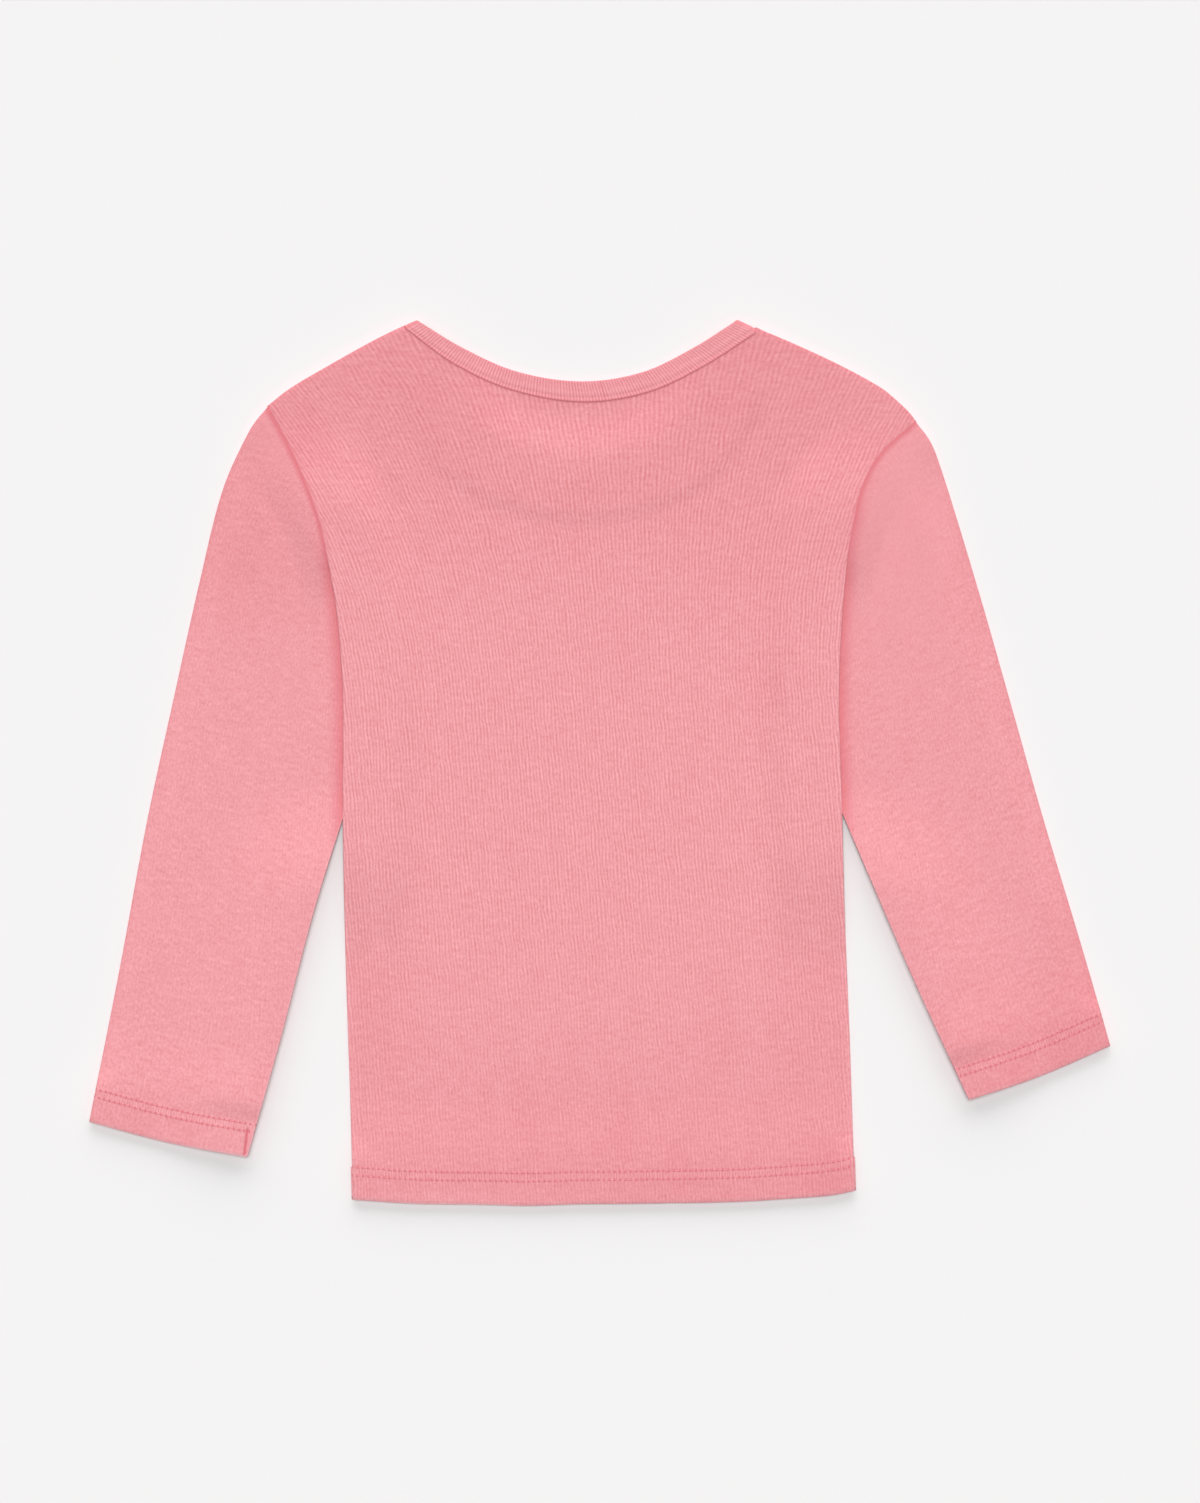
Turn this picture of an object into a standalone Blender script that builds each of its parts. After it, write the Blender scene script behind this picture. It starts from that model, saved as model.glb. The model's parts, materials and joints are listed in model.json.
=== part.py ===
"""Long-sleeved t-shirt for a child of about two years, laid flat on its front.

The back is up, the neck points to +Y, +X is the viewer's right and +Z is up. The origin is
in the middle of the bottom of the bounding box. The two body panels lie on each other, and
the sleeves lie beside them, their inner sides tucked under the edges of the body.
Tables of places are in millimetres, and MM turns them into the script's metres.
"""
from bisect import bisect_right
from collections import namedtuple
import math

import bmesh
import bpy
from mathutils import Vector
from mathutils.geometry import interpolate_bezier

MM = 0.001

# Cloth
WALL = 1.2 * MM
HEM_WALL = 1.8 * MM
HEM_DEPTH = 14.5 * MM
HEM_STEP = 1.6 * MM
LAYER_GAP = 0.3 * MM
SEAM_GAP = 0.3 * MM
RIM = 0.9 * MM
RIM_DROP = 0.6

# Neck binding: a strip of the same knit folded round the edge of the neck
BINDING_THICKNESS = 1.9 * MM
BINDING_EDGE = 0.6 * MM
FOLD_STEPS = 4

# Where the body lies on the tucked sleeves
TUCK_LIFT = 2 * WALL + 2 * LAYER_GAP
TUCK_WIDTH = 20 * MM
TUCK_FADE = 16 * MM
TUCK_LOW = -34 * MM
TUCK_LOW_FADE = 56 * MM
TUCK_HIGH = 104 * MM
TUCK_HIGH_FADE = 44 * MM

# Where the back lies over the binding of the front and then sinks to the table
NECK_RISE_FADE = 9 * MM
NECK_RISE_REACH = 11 * MM
NECK_SINK_START = 8 * MM
NECK_SINK_FADE = 22 * MM

Place = namedtuple("Place", "x y")
Sleeve = namedtuple("Sleeve", "armhole outer_edge inner_edge cuff")

# Lower edge of the body, from left to right
HEM = (
    Place(-106.2, -188.1),
    Place(-75.0, -189.4),
    Place(-4.0, -189.8),
    Place(47.0, -188.8),
    Place(86.0, -186.8),
    Place(109.6, -184.2),
)

# Sides of the body from the hem corner up to where the armhole seam comes out
LEFT_SIDE = (
    Place(-106.2, -188.1),
    Place(-107.5, -145.0),
    Place(-109.6, -80.0),
    Place(-110.6, -20.0),
    Place(-110.6, 30.0),
    Place(-113.4, 66.0),
)
RIGHT_SIDE = (
    Place(109.6, -184.2),
    Place(107.5, -120.0),
    Place(105.2, -62.0),
    Place(103.8, -10.0),
    Place(102.8, 32.0),
    Place(105.2, 76.0),
)

# Armhole seams from there up to the tip of the shoulder
LEFT_ARMHOLE = (
    Place(-117.6, 88.8),
    Place(-121.2, 104.3),
    Place(-126.8, 119.8),
    Place(-133.7, 135.2),
    Place(-143.2, 153.7),
)
RIGHT_ARMHOLE = (
    Place(108.6, 100.0),
    Place(112.9, 118.0),
    Place(120.6, 132.5),
    Place(135.5, 145.6),
)

# Shoulders from the tip to the neck seam, and the neck seam of each panel
LEFT_SHOULDER = (
    Place(-143.2, 153.7),
    Place(-133.3, 161.0),
    Place(-115.7, 171.4),
    Place(-97.2, 181.7),
    Place(-86.4, 186.9),
    Place(-83.1, 185.8),
)
RIGHT_SHOULDER = (
    Place(67.1, 184.3),
    Place(70.2, 185.6),
    Place(80.0, 181.7),
    Place(102.3, 171.4),
    Place(120.8, 161.0),
    Place(135.5, 145.6),
)
BACK_NECK_SEAM = (
    Place(-82.9, 186.0),
    Place(-63.6, 172.2),
    Place(-39.0, 160.8),
    Place(-8.0, 155.4),
    Place(20.6, 159.7),
    Place(44.7, 170.9),
    Place(66.9, 184.6),
)
BACK_NECK_EDGE = (
    Place(-77.6, 188.0),
    Place(-60.0, 178.8),
    Place(-36.0, 168.3),
    Place(-8.0, 164.0),
    Place(18.0, 167.9),
    Place(40.5, 178.5),
    Place(56.6, 188.4),
)
FRONT_NECK_SEAM = (
    Place(-82.9, 186.0),
    Place(-78.2, 156.0),
    Place(-58.0, 127.0),
    Place(-9.0, 112.2),
    Place(41.0, 127.0),
    Place(61.4, 156.0),
    Place(66.9, 184.6),
)
FRONT_NECK_EDGE = (
    Place(-77.6, 188.0),
    Place(-70.2, 159.5),
    Place(-52.4, 133.2),
    Place(-9.0, 120.6),
    Place(35.2, 133.2),
    Place(53.4, 159.5),
    Place(56.6, 188.4),
)

# Sleeves: the armhole end from the shoulder tip to the underarm hidden below the body,
# then the outer and inner edges down to the cuff
LEFT_SLEEVE_HEAD = (
    Place(-143.7, 153.2),
    Place(-134.2, 135.0),
    Place(-127.3, 119.6),
    Place(-121.7, 104.2),
    Place(-118.0, 88.8),
    Place(-109.5, 66.0),
    Place(-93.0, 38.0),
)
RIGHT_SLEEVE_HEAD = (
    Place(136.1, 145.2),
    Place(121.1, 132.1),
    Place(113.4, 117.8),
    Place(109.1, 100.0),
    Place(102.5, 74.0),
    Place(84.0, 33.0),
)
LEFT_OUTER_EDGE = (
    Place(-143.6, 153.2),
    Place(-150.8, 142.0),
    Place(-161.7, 117.2),
    Place(-172.0, 78.5),
    Place(-183.6, 26.9),
    Place(-194.8, -24.7),
    Place(-206.4, -87.1),
    Place(-219.7, -154.6),
)
LEFT_INNER_EDGE = (
    Place(-93.0, 38.0),
    Place(-101.8, 3.0),
    Place(-111.2, -26.4),
    Place(-123.8, -67.7),
    Place(-137.2, -119.3),
    Place(-151.4, -169.6),
)
LEFT_CUFF = (
    Place(-219.7, -154.6),
    Place(-187.0, -163.2),
    Place(-151.4, -169.6),
)
RIGHT_OUTER_EDGE = (
    Place(136.1, 145.2),
    Place(141.4, 138.0),
    Place(145.6, 128.0),
    Place(153.1, 104.3),
    Place(165.1, 65.6),
    Place(176.3, 26.9),
    Place(190.9, -24.7),
    Place(207.5, -80.0),
    Place(219.5, -121.9),
)
RIGHT_INNER_EDGE = (
    Place(84.0, 33.0),
    Place(94.5, 3.0),
    Place(105.0, -24.0),
    Place(120.8, -61.3),
    Place(137.6, -100.0),
    Place(158.4, -145.1),
)
RIGHT_CUFF = (
    Place(219.5, -121.9),
    Place(190.0, -134.6),
    Place(158.4, -145.1),
)

# Rows and columns of the panels: shares of the width and of the length, with steps between
NECK_LEFT = 0.21
NECK_RIGHT = 0.76
NECK_STEPS = 16
NECK_CORNER = 0.01
PANEL_ACROSS = (
    0.0, 0.006, NECK_LEFT - NECK_CORNER, NECK_LEFT,
    NECK_RIGHT, NECK_RIGHT + NECK_CORNER, 0.994, 1.0)
PANEL_ACROSS_STEPS = (1, 4, 1, NECK_STEPS, 1, 4, 1)
HEM_ROWS = (0.0, RIM, HEM_DEPTH - HEM_STEP / 2.0, HEM_DEPTH + HEM_STEP / 2.0)
PANEL_ALONG = (0.0, 0.42, 0.74, 0.99, 1.0)
PANEL_ALONG_STEPS = (6, 5, 9, 1)
SLEEVE_ACROSS = (0.0, 0.02, 0.5, 0.98, 1.0)
SLEEVE_ACROSS_STEPS = (1, 7, 4, 1)
SLEEVE_ALONG = (0.0, 0.945, 0.955, 1.0)
SLEEVE_ALONG_STEPS = (12, 1, 1)

CURVE_STEPS = 12
HEADING_STEP = 0.01
BESIDE_SHARE = 0.3
SHARP_ANGLE = 0.7
BASE_COLOURS = {
    "back_panel": (0.82, 0.36, 0.39),
    "front_panel": (0.80, 0.35, 0.38),
    "sleeve_left": (0.84, 0.39, 0.42),
    "sleeve_right": (0.82, 0.37, 0.40),
    "neck_binding": (0.80, 0.34, 0.37),
}
CLOTH_ROUGHNESS = 0.9


def clear_scene():
    """Remove whatever the opened file holds."""
    for thing in list(bpy.data.objects):
        bpy.data.objects.remove(thing, do_unlink=True)


def knit_material(name):
    """Matt pink knit."""
    material = bpy.data.materials.new(name + "_knit")
    material.use_nodes = True
    shader = material.node_tree.nodes["Principled BSDF"]
    shader.inputs["Base Color"].default_value = (*BASE_COLOURS[name], 1.0)
    shader.inputs["Roughness"].default_value = CLOTH_ROUGHNESS
    shader.inputs["Metallic"].default_value = 0.0
    return material


def add_piece(name, shape):
    """Turn a finished bmesh into a named object with its own cloth."""
    bmesh.ops.recalc_face_normals(shape, faces=shape.faces)
    mesh = bpy.data.meshes.new(name)
    shape.to_mesh(mesh)
    shape.free()
    mesh.shade_smooth()
    mesh.set_sharp_from_angle(angle=SHARP_ANGLE)
    piece = bpy.data.objects.new(name, mesh)
    piece.data.materials.append(knit_material(name))
    bpy.context.scene.collection.objects.link(piece)
    return piece


def ease(share):
    """Go softly from 0 to 1."""
    share = min(max(share, 0.0), 1.0)
    return share * share * (3.0 - 2.0 * share)


def stations(breaks, steps):
    """Shares from the first break to the last, with even steps between breaks."""
    shares = [breaks[0]]
    for start, end, count in zip(breaks, breaks[1:], steps):
        shares += [start + (end - start) * (step + 1) / count for step in range(count)]
    return shares


def smooth_curve(places):
    """Give the function from a share of the length to a point on a smooth curve."""
    knots = [Vector((place.x * MM, place.y * MM, 0.0)) for place in places]
    slopes = []
    for index, knot in enumerate(knots):
        before = knots[max(index - 1, 0)]
        after = knots[min(index + 1, len(knots) - 1)]
        slopes.append((after - before).normalized())
    points = []
    for start, end, start_slope, end_slope in zip(knots, knots[1:], slopes, slopes[1:]):
        reach = (end - start).length / 3.0
        points += interpolate_bezier(
            start, start + start_slope * reach, end - end_slope * reach, end, CURVE_STEPS)[:-1]
    points.append(knots[-1])
    travelled = [0.0]
    for start, end in zip(points, points[1:]):
        travelled.append(travelled[-1] + (end - start).length)

    def at(share):
        goal = min(max(share, 0.0), 1.0) * travelled[-1]
        index = min(bisect_right(travelled, goal) - 1, len(points) - 2)
        part = (goal - travelled[index]) / (travelled[index + 1] - travelled[index])
        return points[index].lerp(points[index + 1], part)

    at.points = points
    return at


def joined_curve(curves, breaks):
    """Run through several curves, each over its own share of the whole."""
    def at(share):
        index = min(bisect_right(breaks, share) - 1, len(curves) - 1)
        span = breaks[index + 1] - breaks[index]
        return curves[index]((share - breaks[index]) / span)
    return at


def stretched_sheet(low, high, left, right, left_reach, right_reach):
    """A flat sheet stretched from its low edge to its high edge.

    Each side edge bends the sheet over its own reach, a share of the width.
    """
    def at(across, along):
        straight = low(across) * (1.0 - along) + high(across) * along
        left_bend = left(along) - low(0.0) * (1.0 - along) - high(0.0) * along
        right_bend = right(along) - low(1.0) * (1.0 - along) - high(1.0) * along
        left_part = 1.0 - ease(across / left_reach)
        right_part = 1.0 - ease((1.0 - across) / right_reach)
        return straight + left_bend * left_part + right_bend * right_part
    return at


def edge_at(curve, height):
    """How far along X a side edge is at a height on the Y axis."""
    points = curve.points
    for start, end in zip(points, points[1:]):
        if start.y <= height <= end.y:
            part = (height - start.y) / max(end.y - start.y, 1e-9)
            return start.x + (end.x - start.x) * part
    return points[0].x if height < points[0].y else points[-1].x


def distance_past(curve, point):
    """Distance from a curve that runs left to right: positive on its left, beside its run.

    A point beyond an end of the curve gets its whole distance from that end.
    """
    points = curve.points
    nearest = min(points, key=lambda other: (other.xy - point.xy).length_squared)
    index = points.index(nearest)
    heading = (points[min(index + 1, len(points) - 1)] - points[max(index - 1, 0)]).normalized()
    offset = point - nearest
    side = heading.x * offset.y - heading.y * offset.x
    if abs(side) > BESIDE_SHARE * offset.xy.length:
        return side
    return math.copysign(offset.xy.length, side)


hem = smooth_curve(HEM)
left_edge = smooth_curve(LEFT_SIDE + LEFT_ARMHOLE)
right_edge = smooth_curve(RIGHT_SIDE + RIGHT_ARMHOLE)
left_shoulder = smooth_curve(LEFT_SHOULDER)
right_shoulder = smooth_curve(RIGHT_SHOULDER)
back_neck_seam = smooth_curve(BACK_NECK_SEAM)
back_neck_edge = smooth_curve(BACK_NECK_EDGE)
front_neck_seam = smooth_curve(FRONT_NECK_SEAM)
front_neck_edge = smooth_curve(FRONT_NECK_EDGE)


def tuck_lift(point):
    """How far a tucked sleeve lifts the body at a point."""
    from_left = point.x - edge_at(left_edge, point.y)
    from_right = edge_at(right_edge, point.y) - point.x
    from_side = min(from_left, from_right)
    sideways = 1.0 - ease((from_side - TUCK_WIDTH) / TUCK_FADE)
    below = 1.0 - ease((TUCK_LOW - point.y) / TUCK_LOW_FADE)
    above = 1.0 - ease((point.y - TUCK_HIGH) / TUCK_HIGH_FADE)
    return TUCK_LIFT * sideways * below * above


def wall_at(height_from_hem):
    """Thickness of a panel: double in the turned-up hem."""
    return HEM_WALL if height_from_hem <= HEM_DEPTH else WALL


def front_under(point, wall):
    """Underside of the front, which lies on the table and on the sleeves."""
    return tuck_lift(point)


def back_under(point, wall):
    """Underside of the back, which lies on the front, on its binding and on the table."""
    on_front = wall + LAYER_GAP
    on_binding = BINDING_THICKNESS + LAYER_GAP
    into_neck = distance_past(front_neck_edge, point)
    if into_neck > -NECK_RISE_REACH:
        sink = ease((into_neck - NECK_SINK_START) / NECK_SINK_FADE)
        height = on_binding * (1.0 - sink)
    else:
        rise = 1.0 - ease((-into_neck - NECK_RISE_REACH) / NECK_RISE_FADE)
        height = on_front + max(on_binding - on_front, 0.0) * rise
    return tuck_lift(point) + height


def beside(curve, gap):
    """A curve set off to the right of its own run by a gap."""
    def at(share):
        before = curve(share - HEADING_STEP)
        after = curve(share + HEADING_STEP)
        heading = (after - before).normalized()
        return curve(share) + Vector((heading.y, -heading.x, 0.0)) * gap
    return at


def panel_sheet(neck_seam):
    """Flat shape of a body panel: hem, sides with armholes, shoulders and neck."""
    top = joined_curve(
        (left_shoulder, beside(neck_seam, SEAM_GAP), right_shoulder),
        (0.0, NECK_LEFT, NECK_RIGHT, 1.0))
    return stretched_sheet(hem, top, left_edge, right_edge, NECK_LEFT, 1.0 - NECK_RIGHT)


def make_panel(name, neck_seam, under, outer_is_top):
    """A body panel: a wall of cloth over its flat shape, its outer rim rounded off."""
    sheet = panel_sheet(neck_seam)
    across = stations(PANEL_ACROSS, PANEL_ACROSS_STEPS)
    along = stations(PANEL_ALONG, PANEL_ALONG_STEPS)
    hem_rows = len(HEM_ROWS) - 1
    columns = len(across) - 1
    rows = hem_rows + len(along) - 1
    panel = bmesh.new()
    bmesh.ops.create_grid(panel, x_segments=columns, y_segments=rows, size=0.5)
    upper = bmesh.ops.extrude_face_region(panel, geom=panel.faces[:])["geom"]
    upper = {part for part in upper if isinstance(part, bmesh.types.BMVert)}
    for corner in panel.verts:
        column = round((corner.co.x + 0.5) * columns)
        row = round((corner.co.y + 0.5) * rows)
        length = (sheet(across[column], 1.0) - sheet(across[column], 0.0)).length
        body_start = HEM_ROWS[-1] / length
        if row <= hem_rows:
            share = HEM_ROWS[row] / length
        else:
            share = body_start + (1.0 - body_start) * along[row - hem_rows]
        point = sheet(across[column], share)
        wall = wall_at(share * length)
        base = under(point, wall)
        in_neck = NECK_LEFT <= across[column] <= NECK_RIGHT
        on_rim = column in (0, columns) or row == 0 or (row == rows and not in_neck)
        drop = wall * RIM_DROP if on_rim else 0.0
        if corner in upper:
            point.z = base + wall - (drop if outer_is_top else 0.0)
        else:
            point.z = base + (0.0 if outer_is_top else drop)
        corner.co = point
    return add_piece(name, panel)


def add_rings(shape, rings):
    """Join closed rings of corners, one after the other, into a skin."""
    corners = [[shape.verts.new(point) for point in ring] for ring in rings]
    for low, high in zip(corners, corners[1:]):
        for index in range(len(low)):
            after = (index + 1) % len(low)
            shape.faces.new((low[index], low[after], high[after], high[index]))
    return corners


def close_between(shape, ring, other):
    """Join two rings of as many corners by a band."""
    for index in range(len(ring)):
        after = (index + 1) % len(ring)
        shape.faces.new((ring[index], ring[after], other[after], other[index]))


def sleeve_ring(sheet, along, across, inset, low, high):
    """One closed section of a flattened sleeve between two heights."""
    left = sheet(0.0, along)
    right = sheet(1.0, along)
    margin = inset / (right - left).length
    middle = (low + high) / 2.0
    lower = []
    upper = []
    for share in across:
        point = sheet(margin + share * (1.0 - 2.0 * margin), along)
        on_edge = share in (0.0, 1.0)
        upper.append(Vector((point.x, point.y, middle if on_edge else high)))
        lower.append(Vector((point.x, point.y, middle if on_edge else low)))
    return upper + lower[-2:0:-1]


def make_sleeve(name, sleeve):
    """A sleeve: an open tube of cloth pressed flat, double in the hem of the cuff."""
    armhole = smooth_curve(sleeve.armhole)
    outer_edge = smooth_curve(sleeve.outer_edge)
    inner_edge = smooth_curve(sleeve.inner_edge)
    cuff = smooth_curve(sleeve.cuff)
    sheet = stretched_sheet(armhole, cuff, outer_edge, inner_edge, 1.0, 1.0)
    across = stations(SLEEVE_ACROSS, SLEEVE_ACROSS_STEPS)
    outer_rings = []
    inner_rings = []
    for along in stations(SLEEVE_ALONG, SLEEVE_ALONG_STEPS):
        from_cuff = (sheet(0.5, 1.0) - sheet(0.5, along)).length
        wall = wall_at(from_cuff)
        height = 2.0 * wall + LAYER_GAP
        outer_rings.append(sleeve_ring(sheet, along, across, 0.0, 0.0, height))
        inner_rings.append(sleeve_ring(sheet, along, across, wall, wall, height - wall))
    tube = bmesh.new()
    outer_skin = add_rings(tube, outer_rings)
    inner_skin = add_rings(tube, inner_rings)
    close_between(tube, outer_skin[0], inner_skin[0])
    close_between(tube, outer_skin[-1], inner_skin[-1])
    return add_piece(name, tube)


def binding_ring(seam_outer, seam_inner, edge_outer, edge_inner):
    """One closed section of the binding, rounded at the neck edge."""
    inset = 1.0 - BINDING_EDGE / (edge_outer - seam_outer).length
    return [
        seam_outer,
        seam_outer.lerp(edge_outer, 0.5),
        seam_outer.lerp(edge_outer, inset),
        (edge_outer + edge_inner) / 2.0,
        seam_inner.lerp(edge_inner, inset),
        seam_inner.lerp(edge_inner, 0.5),
        seam_inner,
    ]


def at_height(point, height):
    """A point of the flat shape at a height above the table."""
    return Vector((point.x, point.y, height))


def back_binding_ring(share):
    """Section of the binding on the back, its outer side up."""
    seam = back_neck_seam(share)
    edge = back_neck_edge(share)
    seam_low = back_under(seam, WALL)
    edge_low = back_under(edge, WALL)
    return binding_ring(
        at_height(seam, seam_low + BINDING_THICKNESS), at_height(seam, seam_low),
        at_height(edge, edge_low + BINDING_THICKNESS), at_height(edge, edge_low))


def front_binding_ring(share):
    """Section of the binding on the front, its outer side down on the table."""
    seam = front_neck_seam(share)
    edge = front_neck_edge(share)
    return binding_ring(
        at_height(seam, 0.0), at_height(seam, BINDING_THICKNESS),
        at_height(edge, 0.0), at_height(edge, BINDING_THICKNESS))


def fold_rings(seam, edge, outward):
    """Sections of the binding where it folds over at the shoulder, from back to front."""
    outer_radius = BINDING_THICKNESS + LAYER_GAP / 2.0
    inner_radius = LAYER_GAP / 2.0
    up = Vector((0.0, 0.0, 1.0))
    rings = []
    for step in range(1, FOLD_STEPS):
        turn = math.pi * step / FOLD_STEPS
        spoke = outward * math.sin(turn) + up * math.cos(turn)
        centre = up * outer_radius
        rings.append(binding_ring(
            seam + centre + spoke * outer_radius, seam + centre + spoke * inner_radius,
            edge + centre + spoke * outer_radius, edge + centre + spoke * inner_radius))
    return rings


def make_binding(name):
    """Neck binding: one loop over the back and round under the front."""
    shares = stations((0.0, 1.0), (NECK_STEPS,))
    left_seam = back_neck_seam(0.0)
    left_edge_end = back_neck_edge(0.0)
    right_seam = back_neck_seam(1.0)
    right_edge_end = back_neck_edge(1.0)
    left_line = (left_edge_end - left_seam).normalized()
    right_line = (right_seam - right_edge_end).normalized()
    rings = [back_binding_ring(share) for share in shares]
    rings += fold_rings(right_seam, right_edge_end, Vector((-right_line.y, right_line.x, 0.0)))
    rings += [front_binding_ring(share) for share in reversed(shares)]
    left_fold = fold_rings(left_seam, left_edge_end, Vector((-left_line.y, left_line.x, 0.0)))
    rings += reversed(left_fold)
    loop = bmesh.new()
    skin = add_rings(loop, rings)
    close_between(loop, skin[-1], skin[0])
    return add_piece(name, loop)


def main():
    clear_scene()
    make_panel("back_panel", back_neck_seam, back_under, outer_is_top=True)
    make_panel("front_panel", front_neck_seam, front_under, outer_is_top=False)
    make_sleeve("sleeve_left", Sleeve(
        LEFT_SLEEVE_HEAD, LEFT_OUTER_EDGE, LEFT_INNER_EDGE, LEFT_CUFF))
    make_sleeve("sleeve_right", Sleeve(
        RIGHT_SLEEVE_HEAD, RIGHT_OUTER_EDGE, RIGHT_INNER_EDGE, RIGHT_CUFF))
    make_binding("neck_binding")


main()
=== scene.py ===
"""Dressed model of a small child's long-sleeved t-shirt, laid flat on its front.

The back is up, the neck points to +Y, +X is the viewer's right and +Z is up, in metres.
Rib knit lies on the form of each solid: two body panels and two sleeves as thin shells, and
the binding of the neck as a folded strip, with their sewing on top. Tables of places are in
millimetres, and MM turns them into metres.
"""
from bisect import bisect_right
from collections import namedtuple
from functools import partial
from itertools import accumulate
import json
import math

import bmesh
import bpy
from mathutils import Matrix, Vector
from mathutils.geometry import interpolate_bezier

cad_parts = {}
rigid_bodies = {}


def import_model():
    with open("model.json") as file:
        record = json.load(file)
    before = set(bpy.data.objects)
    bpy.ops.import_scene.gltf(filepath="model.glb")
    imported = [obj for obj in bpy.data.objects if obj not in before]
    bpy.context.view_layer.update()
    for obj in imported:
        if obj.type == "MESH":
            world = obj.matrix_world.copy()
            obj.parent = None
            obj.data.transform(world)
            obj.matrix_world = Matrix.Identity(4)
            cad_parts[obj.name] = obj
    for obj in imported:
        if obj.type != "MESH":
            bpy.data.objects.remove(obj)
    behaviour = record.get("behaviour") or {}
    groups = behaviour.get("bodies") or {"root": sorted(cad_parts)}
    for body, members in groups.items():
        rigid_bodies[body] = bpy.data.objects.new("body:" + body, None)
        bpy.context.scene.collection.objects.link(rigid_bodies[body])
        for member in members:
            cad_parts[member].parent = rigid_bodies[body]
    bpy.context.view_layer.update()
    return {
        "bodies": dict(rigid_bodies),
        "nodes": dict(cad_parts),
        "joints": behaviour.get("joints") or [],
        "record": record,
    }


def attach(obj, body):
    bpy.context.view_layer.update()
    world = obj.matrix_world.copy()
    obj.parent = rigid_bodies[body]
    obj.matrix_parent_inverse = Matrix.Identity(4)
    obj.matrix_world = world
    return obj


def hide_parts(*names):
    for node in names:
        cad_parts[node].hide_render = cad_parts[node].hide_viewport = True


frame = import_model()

MM = 0.001

# Form of the solids
WALL = 1.2 * MM
HEM_WALL = 1.8 * MM
HEM_DEPTH = 14.5 * MM
HEM_FADE = 34 * MM
LAYER_GAP = 0.3 * MM
NECK_TUCK = -0.1 * MM
BINDING_THICKNESS = 1.9 * MM
# Where the sides of the body lie over the tucked sleeves, and how far up and in that reaches
TUCK_LIFT = 2 * WALL + 2 * LAYER_GAP
TUCK_WIDTH = 20 * MM
TUCK_FADE = 16 * MM
TUCK_LOW = -34 * MM
TUCK_LOW_FADE = 56 * MM
TUCK_HIGH = 104 * MM
TUCK_HIGH_FADE = 44 * MM
# Where the back rises over the front's binding and sinks to the table inside its neck
NECK_FOOT = 80 * MM
NECK_RISE_FADE = 9 * MM
NECK_RISE_REACH = 11 * MM
NECK_SINK_START = 8 * MM
NECK_SINK_FADE = 22 * MM
# The neck's share of the width of a body panel
NECK_LEFT = 0.21
NECK_RIGHT = 0.76
NECK_CORNER = 0.001
CURVE_STEPS = 12
HEADING_STEP = 0.01
BESIDE_SHARE = 0.3

# Cloth and sewing
CLOTH = 0.6 * MM
HEM_FOLD = 0.9 * MM
HEM_FOLD_GAP = 0.05 * MM
STITCH = 2.3 * MM
BINDING_STITCH = 2.1 * MM
THREAD = 0.17 * MM
THREAD_RISE = 0.12 * THREAD
DIMPLE_LENGTH = 0.6 * MM
DIMPLE_WIDTH = 0.75 * MM
BODY_ROWS = (14.0 * MM, 10.5 * MM)
CUFF_ROWS = (14.4 * MM, 11.1 * MM)
GROOVE = 0.012 * MM
GROOVE_WIDTH = 0.9 * MM
# The stitch row of the binding and its groove, as shares of its width, and how high its face
# is and how deep the groove, as shares of its thickness
BINDING_ROW = 0.195
BINDING_GROOVE_WIDTH = 0.09
BINDING_FACE = 0.86
BINDING_GROOVE = 0.1
# Where the two ends of the binding are joined, as a share of the back of the neck
JOIN_PLACE = 0.567
JOIN_REACH = 0.004
JOIN_STEPS = (85, 6, 65)
JOIN_FRAME = JOIN_STEPS[0] + JOIN_STEPS[1] // 2
# How wide and how deep the painted shade of the small step at the join is
JOIN_WIDTH = 0.7 * MM
JOIN_SHADE = 0.45
FRONT_NECK_STEPS = 200
FOLD_TURNS = 12
BINDING_COLUMNS = 16

# Columns and rows of the cloth, closer together over the lip of a sleeve
BODY_COLUMNS = (22, 1, 58, 1, 26)
BODY_STEPS = 160
SLEEVE_COLUMNS = (42, 18)
LIP_START = 0.93
SLEEVE_STEPS = 140
# Rows of a hem in millimetres from its edge: on its hidden layer and on its face, then beside
# each row of stitches, between the two and above them
HIDDEN_ROWS = (14.1, 11.5, 9.0, 6.5, 4.0, 2.2)
FACE_ROWS = (2.0, 3.4, 5.0, 6.6, 8.2, 9.3)
BESIDE_STITCHES = 0.6
BETWEEN_STITCHES = 1.7
ABOVE_STITCHES = (1.4, 2.6)
# Where the rows of stitches start and end, as shares of the width, and their steps
BODY_ROW_ENDS = (0.006, 0.994)
BODY_ROW_STEPS = 110
CUFF_ROW_ENDS = (0.03, 0.955)
CUFF_ROW_STEPS = 60

# Edges. A side edge turns over a small radius, and an edge at a seam over a larger one
RIM_STEPS = 5
SIDE_ROUND = 0.5 * MM
SEAM_ROUND = 0.8 * MM
NECK_ROUND = 1.1 * MM
FOLD_ROWS = 6
FOLD_REACH = 0.28 * MM
# Below this turn the cloth of a hem is its face, and above it the hidden layer
FACE_TURN = 0.6
# How far the cloth drops at an armhole seam, and how deep its painted shade is
SEAM_DROP = 0.38 * MM
SEAM_SHADE = 1.0 * MM
SEAM_DEPTH = 0.75
ARMHOLE_FOOT = 80 * MM
ARMHOLE_FADE = 22 * MM
# How deep and how wide the painted shade of the body is on a sleeve that lies under it
BODY_SHADE = 0.55
BODY_SHADE_WIDTH = 7 * MM
NECK_DIP = -0.1 * MM
NECK_DEPTH = 0.5
# The head of a sleeve runs on under the body and tucks in
HEAD_TUCK = 0.9 * MM
HEAD_OVERLAP = 1.0 * MM
HEAD_REACH = 6 * MM
HEAD_RISE = 24 * MM
HEAD_SEWN = 76 * MM
HEAD_SEWN_FADE = 18 * MM
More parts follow.
